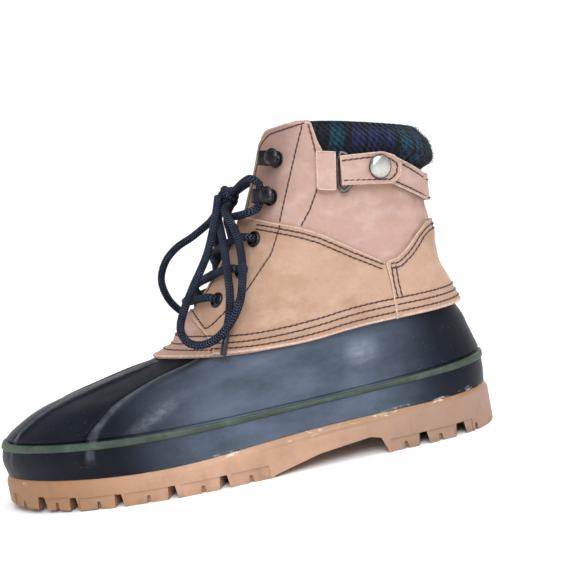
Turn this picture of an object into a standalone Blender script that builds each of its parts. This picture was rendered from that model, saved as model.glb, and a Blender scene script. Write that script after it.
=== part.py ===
# Duck boot, left foot: rubber shell, leather shaft, knit cuff and lugged gum sole.
# Metres, +Z up, the toe points to -X and the outer side of the foot is -Y.
# The origin lies on the floor under the middle of the boot.
import math

import bmesh
import bpy
import numpy as np
from mathutils import Matrix, Vector

# Driving sizes of the last
LENGTH = 0.296
BALL_WIDTH = 0.104
SHELL_HEIGHT = 0.072
SHAFT_HEIGHT = 0.190
SHAFT_RISE = SHAFT_HEIGHT - SHELL_HEIGHT

# Sole
TOE_SPRING = 0.005
LUG_HEIGHT = 0.0075
SOLE_LEDGE = 0.0015
SOLE_BEVEL = 0.0035
LUG_SETBACK = 0.0011
GROOVE_WIDTH = 0.0040
NOTCH_WIDTH = 0.0034
NOTCH_DEPTH = 0.0030
CHANNEL_WIDTH = 0.0050
ARCH_RISE = 0.0110
INSOLE_THICKNESS = 0.0045

# Walls and layers, outwards from the rubber shell's outer face
CLEARANCE = 0.0003
RUBBER_WALL = 0.0025
LEATHER_WALL = 0.0020
OVERLAY_WALL = 0.0016
COUNTER_WALL = 0.0020
STRIPE_HEIGHT = 0.0042
STRIPE_WALL = 0.0009
RIDGE_HEIGHT = 0.0014
TONGUE_WALL = 0.0022
CUFF_WALL = 0.0050
CUFF_BULGE = 0.0085
STRAP_WALL = 0.0022
STRAP_LIFT = 0.0010
STRAP_END_WALL = 0.0018
TAB_WALL = 0.0040

# Openings and hardware
THROAT_HALF = 0.0130
THROAT_MIDDLE = -0.0034
LACE_DIAMETER = 0.0046
EYELET_HOLE = 0.0029
EYELET_FLANGE = 0.0046
EYELET_THICKNESS = 0.0012
HOOK_WIDTH = 0.0075
HOOK_LENGTH = 0.0120
HOOK_PLATE = 0.0012
HOOK_BASE = 0.0046
HOOK_BASE_THICKNESS = 0.0014
RING_WIRE = 0.0024
RING_HEIGHT = 0.0215
RING_DEPTH = 0.0090
SNAP_RADIUS = 0.0063
SNAP_HEIGHT = 0.0032
AGLET_LENGTH = 0.0150
AGLET_DIAMETER = 0.0036

LEATHER_INNER = CLEARANCE
LEATHER_OUTER = LEATHER_INNER + LEATHER_WALL
OVERLAY_INNER = LEATHER_OUTER + CLEARANCE
OVERLAY_OUTER = OVERLAY_INNER + OVERLAY_WALL
COUNTER_OUTER = OVERLAY_INNER + COUNTER_WALL
STRAP_INNER = LEATHER_OUTER + STRAP_LIFT
STRAP_OUTER = STRAP_INNER + STRAP_WALL
STRAP_END_INNER = STRAP_OUTER + CLEARANCE
STRAP_END_OUTER = STRAP_END_INNER + STRAP_END_WALL
TONGUE_OUTER = -RUBBER_WALL - CLEARANCE
TONGUE_INNER = TONGUE_OUTER - TONGUE_WALL
RING_AT_TAB = OVERLAY_INNER + TAB_WALL / 2
RING_AT_STRAP = STRAP_OUTER + CLEARANCE / 2
HARDWARE_LIFT = 0.0007
LACE_DIP = OVERLAY_OUTER + HARDWARE_LIFT + EYELET_THICKNESS + 5 * CLEARANCE

# Sections of the form, from the sole's edge to above the collar.
# front, back: ends of the section, shares of LENGTH from the toe.
# z: heights at the front, the ball, the waist and the back, shares of SHELL_HEIGHT,
# and for the shaft 1 + shares of SHAFT_RISE.
# full: half widths before rounding, at even stations, shares of BALL_WIDTH.
SECTIONS = (
    ("sole_edge", 0.010, 0.990, (0.285, 0.236, 0.312, 0.326), (0.615, 0.577, 0.500, 0.413, 0.452, 0.635)),
    ("bulge", 0.005, 0.993, (0.417, 0.375, 0.430, 0.444), (0.625, 0.587, 0.510, 0.423, 0.457, 0.635)),
    ("stripe", 0.017, 0.9915, (0.556, 0.518, 0.528, 0.583), (0.606, 0.582, 0.505, 0.418, 0.452, 0.615)),
    ("toe_round", 0.044, 0.985, (0.646, 0.625, 0.639, 0.694), (0.558, 0.567, 0.500, 0.418, 0.442, 0.587)),
    ("toe_top", 0.101, 0.978, (0.757, 0.750, 0.764, 0.792), (0.481, 0.538, 0.490, 0.413, 0.433, 0.558)),
    ("low_vamp", 0.203, 0.971, (0.861, 0.845, 0.880, 0.896), (0.385, 0.481, 0.471, 0.409, 0.423, 0.529)),
    ("topline", 0.348, 0.959, (1.000, 0.972, 1.014, 1.000), (0.317, 0.413, 0.433, 0.404, 0.409, 0.481)),
    ("lap", 0.395, 0.944, (1.064, 1.102, 1.114, 1.102), (0.288, 0.394, 0.413, 0.389, 0.394, 0.452)),
    ("instep", 0.443, 0.929, (1.195, 1.237, 1.237, 1.220), (0.288, 0.380, 0.394, 0.375, 0.370, 0.413)),
    ("lower_shaft", 0.514, 0.930, (1.390, 1.381, 1.364, 1.356), (0.288, 0.361, 0.375, 0.361, 0.351, 0.385)),
    ("ankle", 0.568, 0.929, (1.593, 1.559, 1.525, 1.517), (0.288, 0.351, 0.365, 0.356, 0.346, 0.370)),
    ("upper_shaft", 0.601, 0.933, (1.771, 1.720, 1.669, 1.661), (0.288, 0.351, 0.365, 0.356, 0.346, 0.365)),
    ("collar", 0.628, 0.943, (1.924, 1.864, 1.800, 1.763), (0.298, 0.356, 0.370, 0.361, 0.351, 0.365)),
    ("above_collar", 0.645, 0.951, (2.030, 1.985, 1.930, 1.880), (0.308, 0.365, 0.375, 0.365, 0.356, 0.370)),
)
LEVEL = {row[0]: index for index, row in enumerate(SECTIONS)}
HEIGHT_STATIONS = (0.0, 0.33, 0.67, 1.0)
WIDTH_STATIONS = (0.0, 0.2, 0.4, 0.6, 0.8, 1.0)

# The foot's curve: the middle line moves to the inner side at the toe (shares of BALL_WIDTH)
MIDDLE_LINE = (0.041, 0.031, -0.013, -0.041, -0.027, -0.017)

# Columns round the form in degrees from the front, closer at the toe ridges
RIDGES = (19.0, 47.0)
RIDGE_HALF = 2.6
HALF_COLUMNS = (9.5, 30.0, 38.0, 59.0, 73.0, 88.0, 104.0, 120.0, 136.0, 151.0, 166.0)
RIDGE_COLUMNS = tuple(ridge + step * RIDGE_HALF for ridge in RIDGES for step in (-1, 0, 1))
SIDE_COLUMNS = tuple(sorted(HALF_COLUMNS + RIDGE_COLUMNS))
COLUMNS = (0.0,) + SIDE_COLUMNS + (180.0,) + tuple(360.0 - a for a in reversed(SIDE_COLUMNS))

# Outlines in the side view: (share of LENGTH from the toe, share of SHAFT_HEIGHT)
QUARTER_OUTLINE = (
    (0.419, 0.526), (0.438, 0.505), (0.473, 0.432), (0.490, 0.300), (0.826, 0.300), (0.828, 0.489),
    (0.825, 0.548), (0.713, 0.668), (0.679, 0.695), (0.628, 0.726), (0.574, 0.761), (0.500, 0.800),
)
COUNTER_OUTLINE = (
    (0.828, 0.300), (0.830, 0.489), (0.827, 0.551), (0.851, 0.555), (0.875, 0.579), (0.895, 0.605),
    (0.919, 0.637), (0.943, 0.647), (1.100, 0.647), (1.100, 0.300),
)
ABOVE_COLLAR_OUTLINE = (
    (0.500, 0.780), (0.605, 0.868), (0.618, 0.937), (0.652, 0.997), (0.733, 1.003), (0.740, 0.932),
    (0.747, 0.895), (0.777, 0.847), (0.855, 0.837), (0.920, 0.758), (1.100, 0.742), (1.100, 1.400),
    (0.400, 1.400), (0.400, 0.780),
)
THROAT_OUTLINE = ((0.399, 0.568), (0.473, 0.453), (0.601, 0.579), (0.709, 0.789), (0.723, 1.300), (0.400, 1.300))
RING_TAB_OUTLINE = ((0.735, 0.900), (0.768, 0.889), (0.757, 0.784), (0.725, 0.795))
STRAP_OUTLINE = (
    (0.775, 0.874), (0.855, 0.865), (0.882, 0.842), (0.936, 0.787), (1.100, 0.776), (1.100, 0.692),
    (0.936, 0.705), (0.865, 0.774), (0.770, 0.795),
)
STRAP_END_OUTLINE = (
    (0.775, 0.874), (0.855, 0.865), (0.876, 0.850), (0.887, 0.825), (0.882, 0.792), (0.865, 0.774), (0.770, 0.795),
)
EYELETS = ((0.500, 0.532), (0.557, 0.603), (0.591, 0.689))
HOOKS = ((0.635, 0.800), (0.659, 0.905))
SNAP = (0.845, 0.826)
RING_PLACE = (0.7665, 0.832)
RING_LEAN = math.radians(8.0)

# Lug gaps along the side, shares of LENGTH: centre of each gap
FOREFOOT_GAPS = (0.092, 0.166, 0.261, 0.366, 0.463)
ARCH = ((0.548, 0.12), (0.640, 0.72), (0.738, 1.0), (0.757, 0.85), (0.766, 0.20))
HEEL_GAPS = (0.836, 0.907)
LUG_ENDS = (0.020, 0.548, 0.768, 0.985)
CHANNEL_RUNS = ((0.07, 0.57), (0.75, 0.95))
CHANNEL_SHARE = 0.8
CHANNEL_PLACE = 0.010
LUG_SLANT = math.radians(12.0)

# Levels of the form where each wall has a row of points; the last whole one is above the collar
STRIPE_LEVELS = (1.58, 2.0)
SHELL_LEVELS = (0.0, 1.0, 1.58, 2.0, 3.0, 4.0, 5.0, 5.5, 6.0, 6.5, 7.0)
LEATHER_LEVELS = (6.0, 6.5, 7.0, 8.0, 9.0, 10.0, 11.0, 12.0, 13.0)
PANEL_LEVELS = (6.0, 6.5, 7.0, 8.0, 9.0, 10.0, 11.0)
STRAP_LEVELS = (9.0, 10.0, 11.0, 12.0, 13.0)
TONGUE_LEVELS = (6.5, 7.0, 8.0, 9.0, 10.0, 11.0, 12.0, 12.4)
CUFF_LEVELS = (9.5, 10.0, 11.0, 11.5, 12.0, 12.5, 12.8, 13.0)
TONGUE_REACH = 60.0
CUFF_START = 62.0

# The bow: knot, and hand-placed routes of the free lace, in metres
LACE_SIDES = 6
SLOT_ANGLE = 14.5
KNOT_CENTRE = (0.0165, -0.0049, 0.1575)
KNOT_RADII = (0.0062, 0.0078, 0.0072)
OUTER_LOOP = (
    (0.0108, -0.0121, 0.1581), (0.0090, -0.0174, 0.1515), (0.0050, -0.0259, 0.1395), (-0.0010, -0.0319, 0.1260),
    (-0.0120, -0.0374, 0.1095), (-0.0192, -0.0424, 0.0970), (-0.0215, -0.0454, 0.0895), (-0.0190, -0.0479, 0.0830),
    (-0.0130, -0.0499, 0.0800), (-0.0040, -0.0519, 0.0813), (0.0060, -0.0521, 0.0885), (0.0135, -0.0509, 0.0990),
    (0.0175, -0.0474, 0.1120), (0.0190, -0.0424, 0.1250), (0.0178, -0.0344, 0.1375), (0.0135, -0.0234, 0.1490),
    (0.0161, -0.0120, 0.1523),
)
INNER_LOOP = (
    (0.0114, 0.0021, 0.1580), (0.0083, 0.0076, 0.1515), (0.0032, 0.0109, 0.1460), (-0.0030, 0.0124, 0.1422),
    (-0.0110, 0.0141, 0.1380), (-0.0210, 0.0166, 0.1338), (-0.0300, 0.0201, 0.1265), (-0.0353, 0.0241, 0.1155),
    (-0.0338, 0.0291, 0.1030), (-0.0280, 0.0336, 0.0935), (-0.0190, 0.0376, 0.0860), (-0.0090, 0.0406, 0.0835),
    (0.0010, 0.0416, 0.0875), (0.0080, 0.0406, 0.0970), (0.0113, 0.0381, 0.1090), (0.0123, 0.0341, 0.1200),
    (0.0123, 0.0286, 0.1310), (0.0120, 0.0216, 0.1410), (0.0133, 0.0149, 0.1480), (0.0173, 0.0027, 0.1531),
)
OUTER_END = (
    (0.0110, -0.0069, 0.1523), (0.0088, -0.0117, 0.1468), (0.0093, -0.0209, 0.1390), (0.0098, -0.0299, 0.1315),
    (0.0098, -0.0374, 0.1225), (0.0094, -0.0399, 0.1140), (0.0085, -0.0409, 0.1035), (0.0062, -0.0439, 0.0930),
    (0.0038, -0.0459, 0.0860),
)
INNER_END = (
    (0.0113, -0.0007, 0.1526), (0.0076, -0.0009, 0.1462), (0.0048, 0.0051, 0.1385), (0.0032, 0.0151, 0.1295),
    (0.0022, 0.0247, 0.1205), (0.0014, 0.0283, 0.1115), (0.0000, 0.0309, 0.1020), (-0.0020, 0.0331, 0.0935),
    (-0.0036, 0.0351, 0.0870),
)


def smooth_value(stations, values, t):
    """Catmull-Rom curve through values at rising stations."""
    last = len(stations) - 1
    index = min(max(int(np.searchsorted(stations, t)) - 1, 0), last - 1)
    before, after = max(index - 1, 0), min(index + 2, last)
    span = stations[index + 1] - stations[index]
    slope_in = (values[index + 1] - values[before]) / (stations[index + 1] - stations[before]) * span
    slope_out = (values[after] - values[index]) / (stations[after] - stations[index]) * span
    s = (t - stations[index]) / span
    return (
        (2 * s ** 3 - 3 * s ** 2 + 1) * values[index]
        + (s ** 3 - 2 * s ** 2 + s) * slope_in
        + (3 * s ** 2 - 2 * s ** 3) * values[index + 1]
        + (s ** 3 - s ** 2) * slope_out
    )


def height_of(share):
    """Height of a section's share: the shell up to 1, the shaft above it."""
    return share * SHELL_HEIGHT if share <= 1.0 else SHELL_HEIGHT + (share - 1.0) * SHAFT_RISE


def side_x(share):
    """Place along the boot of a share of its length."""
    return (share - 0.5) * LENGTH


def form_point(angle, level):
    """Point of the rubber shell's outer face, and of the same surface carried up the shaft."""
    turn = math.radians(angle)
    t = (1.0 - math.cos(turn)) / 2.0
    start = min(max(int(level) - 1, 0), len(SECTIONS) - 4)
    rows = range(start, start + 4)
    near = [SECTIONS[row] for row in rows]
    front = side_x(smooth_value(rows, [row[1] for row in near], level))
    back = side_x(smooth_value(rows, [row[2] for row in near], level))
    z = smooth_value(rows, [height_of(smooth_value(HEIGHT_STATIONS, row[3], t)) for row in near], level)
    full = smooth_value(rows, [smooth_value(WIDTH_STATIONS, row[4], t) for row in near], level) * BALL_WIDTH
    x = front + (back - front) * t
    middle = smooth_value(WIDTH_STATIONS, MIDDLE_LINE, min(max(x / LENGTH + 0.5, 0.0), 1.0)) * BALL_WIDTH
    return np.array((x, middle - full * math.sin(turn), z))


def form_normal(angle, level):
    """Outward direction of the form."""
    step_angle, step_level = 0.4, 0.02
    along = form_point(angle + step_angle, level) - form_point(angle - step_angle, level)
    top = len(SECTIONS) - 1
    upward = form_point(angle, min(level + step_level, top)) - form_point(angle, max(level - step_level, 0.0))
    normal = np.cross(along, upward)
    return normal / np.linalg.norm(normal)


def form_at(angle, level, offset):
    """Point at a distance outside the form."""
    return form_point(angle, level) + form_normal(angle, level) * offset


def find_on_form(place, side, offset):
    """Angle and level of the point that shows at a place in the side view; side is -1 outer, 1 inner."""
    goal = np.array((side_x(place[0]), place[1] * SHAFT_HEIGHT))
    angle, level = 80.0, 9.0
    for _ in range(40):
        here = form_at(angle, level, offset)[[0, 2]]
        by_angle = (form_at(angle + 0.5, level, offset)[[0, 2]] - here) / 0.5
        by_level = (form_at(angle, level + 0.02, offset)[[0, 2]] - here) / 0.02
        move = np.linalg.solve(np.column_stack((by_angle, by_level)), goal - here)
        angle += float(np.clip(move[0], -15.0, 15.0))
        level += float(np.clip(move[1], -1.0, 1.0))
        angle = min(max(angle, 2.0), 178.0)
        level = min(max(level, 0.1), len(SECTIONS) - 1.1)
    return (angle if side < 0 else 360.0 - angle), level


def ridge_rise(angle, level):
    """Height of the four soft toe ridges on the rubber shell."""
    from_front = min(angle, 360.0 - angle)
    across = max(0.0, 1.0 - min(abs(from_front - ridge) for ridge in RIDGES) / RIDGE_HALF)
    fade_in = min(max((level - LEVEL["stripe"]) / 0.8, 0.0), 1.0)
    fade_out = min(max((LEVEL["topline"] - level) / 0.6, 0.0), 1.0)
    return RIDGE_HEIGHT * across * min(fade_in, fade_out)


def new_object(name, mesh_data, colour, roughness, metallic=0.0):
    """A named object with a material of its own."""
    mesh = bpy.data.meshes.new(name)
    mesh_data.to_mesh(mesh)
    mesh_data.free()
    made = bpy.data.objects.new(name, mesh)
    bpy.context.collection.objects.link(made)
    finish(made, colour, roughness, metallic)
    return made


def finish(made, colour, roughness, metallic=0.0):
    """Principled material from a colour, a roughness and a metallic value."""
    material = bpy.data.materials.new(made.name)
    material.use_nodes = True
    shader = material.node_tree.nodes["Principled BSDF"]
    shader.inputs["Base Color"].default_value = (*colour, 1.0)
    shader.inputs["Roughness"].default_value = roughness
    shader.inputs["Metallic"].default_value = metallic
    made.data.materials.append(material)


def skin_rings(outside, inside, wraps):
    """Closed wall between two lists of rows; both sides split their quads along the same diagonal."""
    shape = bmesh.new()
    outer_rows = [[shape.verts.new(point) for point in row] for row in outside]
    inner_rows = [[shape.verts.new(point) for point in row] for row in inside]
    count = len(outer_rows[0])
    steps = count if wraps else count - 1
    for rows in (outer_rows, inner_rows):
        for lower, upper in zip(rows, rows[1:]):
            for k in range(steps):
                after = (k + 1) % count
                shape.faces.new((lower[k], upper[after], upper[k]))
                shape.faces.new((lower[k], lower[after], upper[after]))
    for end in (0, -1):
        for k in range(steps):
            after = (k + 1) % count
            shape.faces.new((outer_rows[end][k], outer_rows[end][after], inner_rows[end][after], inner_rows[end][k]))
    if not wraps:
        for column in (0, -1):
            for low, high in zip(range(len(outside)), range(1, len(outside))):
                corners = (outer_rows[low][column], outer_rows[high][column])
                shape.faces.new(corners + (inner_rows[high][column], inner_rows[low][column]))
    bmesh.ops.recalc_face_normals(shape, faces=shape.faces)
    return shape


def wall(name, levels, inner, outer, look, angles=COLUMNS, rise=None):
    """Hollow wall between two offsets of the form, closed round it or along some of its columns."""
    outside = [[form_at(a, v, outer(a, v) if callable(outer) else outer) for a in angles] for v in levels]
    inside = [[form_at(a, v, inner(a, v) if callable(inner) else inner) for a in angles] for v in levels]
    if rise:
        for row, v in enumerate(levels):
            for k, a in enumerate(angles):
                outside[row][k] = outside[row][k] + form_normal(a, v) * rise(a, v)
    return new_object(name, skin_rings(outside, inside, len(angles) == len(COLUMNS)), *look)


def side_prism(name, outline, low_y, high_y):
    """Cutter with an outline of the side view, run across the boot."""
    shape = bmesh.new()
    corners = [shape.verts.new((side_x(x), low_y, z * SHAFT_HEIGHT)) for x, z in outline]
    base = shape.faces.new(corners)
    grown = bmesh.ops.extrude_face_region(shape, geom=[base])
    moved = [item for item in grown["geom"] if isinstance(item, bmesh.types.BMVert)]
    bmesh.ops.translate(shape, verts=moved, vec=(0.0, high_y - low_y, 0.0))
    bmesh.ops.recalc_face_normals(shape, faces=shape.faces)
    return as_cutter(new_object(name, shape, (0.5, 0.5, 0.5), 0.5))


def as_cutter(made):
    """Marks an object as a tool that isn't part of the boot."""
    made.hide_render = True
    made.display_type = "WIRE"
    return made


def cut(made, cutter, operation="DIFFERENCE", crosses_itself=False):
    """Boolean of an object with a cutter; crosses_itself is for a cutter of boxes that run into each other."""
    step = made.modifiers.new(cutter.name, "BOOLEAN")
    step.operation = operation
    step.object = cutter
    step.use_self = crosses_itself


def add_box(shape, centre, size, turn=0.0):
    """Adds a box to a bmesh, turned about the vertical."""
    place = Matrix.Translation(centre) @ Matrix.Rotation(turn, 4, "Z") @ Matrix.Diagonal((*size, 1.0))
    bmesh.ops.create_cube(shape, size=1.0, matrix=place)


def sole_bottom(x):
    """Height of the tread's lowest points: flat under the ball and heel, sprung at the toe."""
    spring_start = side_x(0.27)
    reach = max(0.0, (spring_start - x) / (spring_start - side_x(0.0)))
    return TOE_SPRING * reach ** 1.6


def capped_stack(rings):
    """Closed solid from rings of COLUMNS, with its ends closed by quads straight across."""
    shape = bmesh.new()
    rows = [[shape.verts.new(point) for point in ring] for ring in rings]
    count = len(COLUMNS)
    for lower, upper in zip(rows, rows[1:]):
        for k in range(count):
            after = (k + 1) % count
            shape.faces.new((lower[k], upper[k], upper[after], lower[after]))
    for row in (rows[0], rows[-1]):
        for k in range(count // 2):
            pair = (row[k], row[k + 1], row[-(k + 1)], row[-k]) if k else (row[0], row[1], row[-1])
            if k == count // 2 - 1:
                pair = (row[k], row[k + 1], row[-k])
            shape.faces.new(pair)
    bmesh.ops.recalc_face_normals(shape, faces=shape.faces)
    return shape


GUM = ((0.42, 0.20, 0.09), 0.55)
RUBBER = ((0.012, 0.016, 0.026), 0.38)
STRIPE_GREEN = ((0.02, 0.055, 0.03), 0.5)
TAN_LEATHER = ((0.50, 0.29, 0.17), 0.62)
PINK_LEATHER = ((0.56, 0.36, 0.27), 0.6)
BROWN_LEATHER = ((0.30, 0.16, 0.09), 0.65)
KNIT = ((0.01, 0.03, 0.07), 0.95)
FELT = ((0.10, 0.10, 0.11), 0.95)
BLACK_METAL = ((0.03, 0.03, 0.035), 0.3, 0.9)
PEWTER = ((0.45, 0.44, 0.42), 0.28, 1.0)
BRAID = ((0.012, 0.016, 0.04), 0.8)
AGLET_TIP = ((0.03, 0.03, 0.03), 0.3)


def sole_outline(grow, height):
    """Ring of the sole: the form's lower edge grown outwards, at a height worked out from x."""
    ring = []
    for angle in COLUMNS:
        edge = form_point(angle, 0.0)
        flat = form_normal(angle, 0.0) * (1.0, 1.0, 0.0)
        spot = edge + flat / np.linalg.norm(flat) * grow
        ring.append((spot[0], spot[1], height(spot[0], edge[2])))
    return ring


def make_outsole():
    """Gum sole: bevelled rim, side wall, arch, and a tread of lugs."""
    rings = [
        sole_outline(SOLE_LEDGE - SOLE_BEVEL * 0.5, lambda x, top: top - CLEARANCE),
        sole_outline(SOLE_LEDGE, lambda x, top: top - SOLE_BEVEL),
        sole_outline(SOLE_LEDGE, lambda x, top: sole_bottom(x)),
    ]
    outsole = new_object("outsole", capped_stack(rings), *GUM)
    for cutter in (arch_cutter(), side_gap_cutter(), channel_cutter()):
        cut(outsole, cutter)
    cut(outsole, lug_side_cutter(), crosses_itself=True)


def arch_cutter():
    """The hollow between forefoot and heel, with the heel's curved breast."""
    outline = [(ARCH[0][0], -0.1)]
    outline += [(x, rise * ARCH_RISE / SHAFT_HEIGHT) for x, rise in ARCH]
    outline.append((ARCH[-1][0], -0.1))
    return side_prism("cut_arch", outline, -BALL_WIDTH, BALL_WIDTH)


def side_gap_cutter():
    """The slanted gaps between the side lugs."""
    shape = bmesh.new()
    reach = BALL_WIDTH * 0.6
    for share in FOREFOOT_GAPS + HEEL_GAPS:
        x = side_x(share)
        top = sole_bottom(x) + LUG_HEIGHT
        depth = LUG_HEIGHT * 2
        for side in (-1, 1):
            centre = (x, side * (CHANNEL_PLACE + reach / 2), top - depth / 2)
            add_box(shape, centre, (GROOVE_WIDTH, reach, depth), side * LUG_SLANT)
    return as_cutter(new_object("cut_side_gaps", shape, *GUM))


def channel_cutter():
    """One long channel along the forefoot and one along the heel, beside the middle row."""
    shape = bmesh.new()
    depth = LUG_HEIGHT * CHANNEL_SHARE
    for start, end in CHANNEL_RUNS:
        size = ((end - start) * LENGTH, CHANNEL_WIDTH, depth * 2)
        add_box(shape, (side_x((start + end) / 2), THROAT_MIDDLE, 0.0), size)
    return as_cutter(new_object("cut_channels", shape, *GUM))


def lug_side_cutter():
    """The steps of the sole's side: each lug has a notch, and its front half is set back."""
    shape = bmesh.new()
    forefoot = (LUG_ENDS[0],) + FOREFOOT_GAPS + (LUG_ENDS[1],)
    heel = (LUG_ENDS[2],) + HEEL_GAPS + (LUG_ENDS[3],)
    for start, end in list(zip(forefoot, forefoot[1:])) + list(zip(heel, heel[1:])):
        for side in (-1, 1):
            spot, turn = sole_side_spot((start + end) / 2, side)
            low = sole_bottom(spot[0])
            size = (NOTCH_WIDTH, NOTCH_DEPTH * 2, LUG_HEIGHT * 1.7)
            add_box(shape, (spot[0], spot[1], low), size, turn)
            spot, turn = sole_side_spot(start * 0.75 + end * 0.25, side)
            low = sole_bottom(spot[0])
            size = ((end - start) * LENGTH * 0.34, LUG_SETBACK * 2, LUG_HEIGHT * 2)
            add_box(shape, (spot[0], spot[1], low + LUG_HEIGHT * 0.15), size, turn)
    return as_cutter(new_object("cut_lug_sides", shape, *GUM))


def sole_side_spot(share, side):
    """Point on the sole's side wall at a share of the length, and the wall's direction."""
    spots = []
    for angle in range(2, 179):
        real = angle if side < 0 else 360.0 - angle
        edge = form_point(real, 0.0)
        flat = form_normal(real, 0.0) * (1.0, 1.0, 0.0)
        spots.append(edge + flat / np.linalg.norm(flat) * SOLE_LEDGE)
    spots = np.array(spots)
    index = int(np.argmin(abs(spots[:, 0] - side_x(share))))
    index = min(max(index, 1), len(spots) - 2)
    run = spots[index + 1] - spots[index - 1]
    return spots[index], math.atan2(run[1], run[0])


def make_insole():
    """Flat footbed inside the shell, just above the outsole."""
    inset = -RUBBER_WALL - 3 * CLEARANCE
    rings = []
    for lift in (CLEARANCE, CLEARANCE + INSOLE_THICKNESS):
        ring = []
        for angle in COLUMNS:
            edge = form_point(angle, 0.0)
            flat = form_normal(angle, 0.0) * (1.0, 1.0, 0.0)
            spot = edge + flat / np.linalg.norm(flat) * inset
            ring.append((spot[0], spot[1], edge[2] + lift))
        rings.append(ring)
    new_object("insole", capped_stack(rings), *FELT)


def make_upper():
    """Rubber shell, leather shaft and the leather panels over it."""
    wall("rubber_shell", SHELL_LEVELS, -RUBBER_WALL, 0.0, RUBBER, rise=ridge_rise)
    wall("rand_stripe", STRIPE_LEVELS, CLEARANCE, CLEARANCE + STRIPE_WALL, STRIPE_GREEN)
    collar = side_prism("cut_collar", ABOVE_COLLAR_OUTLINE, -BALL_WIDTH, BALL_WIDTH)
    low, high = THROAT_MIDDLE - THROAT_HALF, THROAT_MIDDLE + THROAT_HALF
    throat = side_prism("cut_throat", THROAT_OUTLINE, low, high)
    holes = eyelet_hole_cutter()
    leather = wall("leather_upper", LEATHER_LEVELS, LEATHER_INNER, LEATHER_OUTER, PINK_LEATHER)
    for cutter in (collar, throat, holes):
        cut(leather, cutter)
    for name, start, end in (("quarter_outer", -BALL_WIDTH, low), ("quarter_inner", high, BALL_WIDTH)):
        quarter = wall(name, PANEL_LEVELS, OVERLAY_INNER, OVERLAY_OUTER, TAN_LEATHER)
        cut(quarter, side_prism("keep_" + name, QUARTER_OUTLINE, start, end), "INTERSECT")
        cut(quarter, holes)
    counter = wall("heel_counter", PANEL_LEVELS, OVERLAY_INNER, COUNTER_OUTER, TAN_LEATHER)
    cut(counter, side_prism("keep_counter", COUNTER_OUTLINE, -BALL_WIDTH, BALL_WIDTH), "INTERSECT")


def make_tongue():
    """Leather tongue behind the throat, from under the shell's lap to the collar."""
    around = tuple(a for a in COLUMNS if a > 360.0 - TONGUE_REACH) + tuple(a for a in COLUMNS if a < TONGUE_REACH)
    wall("tongue", TONGUE_LEVELS, TONGUE_INNER, TONGUE_OUTER, BROWN_LEATHER, around)


def ease(value):
    """Smooth step between 0 and 1."""
    value = min(max(value, 0.0), 1.0)
    return value * value * (3.0 - 2.0 * value)


def strap_top(x):
    """Height of the strap's upper edge in the side view."""
    places = [side_x(place[0]) for place in STRAP_OUTLINE[:5]]
    heights = [place[1] * SHAFT_HEIGHT for place in STRAP_OUTLINE[:5]]
    return float(np.interp(x, places, heights))


def cuff_outer(angle, level):
    """The knit swells outwards above the strap, most at the back, and rounds over at the top."""
    spot = form_point(angle, level)
    round_back = ease((spot[0] - side_x(0.755)) / (LENGTH * 0.19))
    above = ease((spot[2] - strap_top(spot[0]) + CUFF_BULGE * 0.1) / (CUFF_BULGE * 1.3))
    rounding = CUFF_WALL * 0.45 * ease((level - CUFF_LEVELS[-3]) / (CUFF_LEVELS[-1] - CUFF_LEVELS[-3]))
    return CUFF_BULGE * round_back * above - CLEARANCE - rounding


def cuff_inner(angle, level):
    """Inner side of the knit, a wall behind the outer side."""
    rounding = CUFF_WALL * 0.6 * ease((level - CUFF_LEVELS[-3]) / (CUFF_LEVELS[-1] - CUFF_LEVELS[-3]))
    lean = max(cuff_outer(angle, level), 0.0) * 0.6
    return lean - CUFF_WALL - CLEARANCE + rounding


def make_cuff():
    """Padded knit cuff round the back of the collar, its ends inside the flaps."""
    around = tuple(a for a in COLUMNS if CUFF_START < a < 360.0 - CUFF_START)
    wall("collar_cuff", CUFF_LEVELS, cuff_inner, cuff_outer, KNIT, around)


def frame_on_form(place, side, offset):
    """Matrix at a point of the side view: local Z outwards, local X towards the throat."""
    angle, level = find_on_form(place, side, offset)
    spot = Vector(form_at(angle, level, offset))
    outward = Vector(form_normal(angle, level))
    towards = Vector(form_at(angle + side * 1.0, level, offset)) - spot
    forward = (towards - outward * towards.dot(outward)).normalized()
    across = outward.cross(forward)
    turn = Matrix((forward, across, outward)).transposed().to_4x4()
    return Matrix.Translation(spot) @ turn


def eyelet_hole_cutter():
    """Cylinders through quarter and shaft at each eyelet."""
    shape = bmesh.new()
    for place in EYELETS:
        for side in (-1, 1):
            matrix = frame_on_form(place, side, OVERLAY_INNER)
            bmesh.ops.create_cone(
                shape, cap_ends=True, segments=12, radius1=EYELET_HOLE, radius2=EYELET_HOLE,
                depth=OVERLAY_OUTER * 3, matrix=matrix,
            )
    return as_cutter(new_object("cut_eyelet_holes", shape, *BLACK_METAL))


def turned(profile, segments, matrix):
    """Closed turned shape from (radius, height) pairs about local Z; radius 0 is a pole."""
    shape = bmesh.new()
    rows = []
    for radius, height in profile:
        if radius == 0.0:
            rows.append([shape.verts.new(matrix @ Vector((0.0, 0.0, height)))])
            continue
        turns = [2.0 * math.pi * k / segments for k in range(segments)]
        points = [Vector((radius * math.cos(t), radius * math.sin(t), height)) for t in turns]
        rows.append([shape.verts.new(matrix @ point) for point in points])
    open_ends = len(rows[0]) == 1
    steps = len(rows) - 1 if open_ends else len(rows)
    for index in range(steps):
        lower, upper = rows[index], rows[(index + 1) % len(rows)]
        for k in range(segments):
            after = (k + 1) % segments
            corners = [lower[k % len(lower)], lower[after % len(lower)], upper[after % len(upper)]]
            corners.append(upper[k % len(upper)])
            shape.faces.new(list(dict.fromkeys(corners)))
    bmesh.ops.recalc_face_normals(shape, faces=shape.faces)
    return shape


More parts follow.
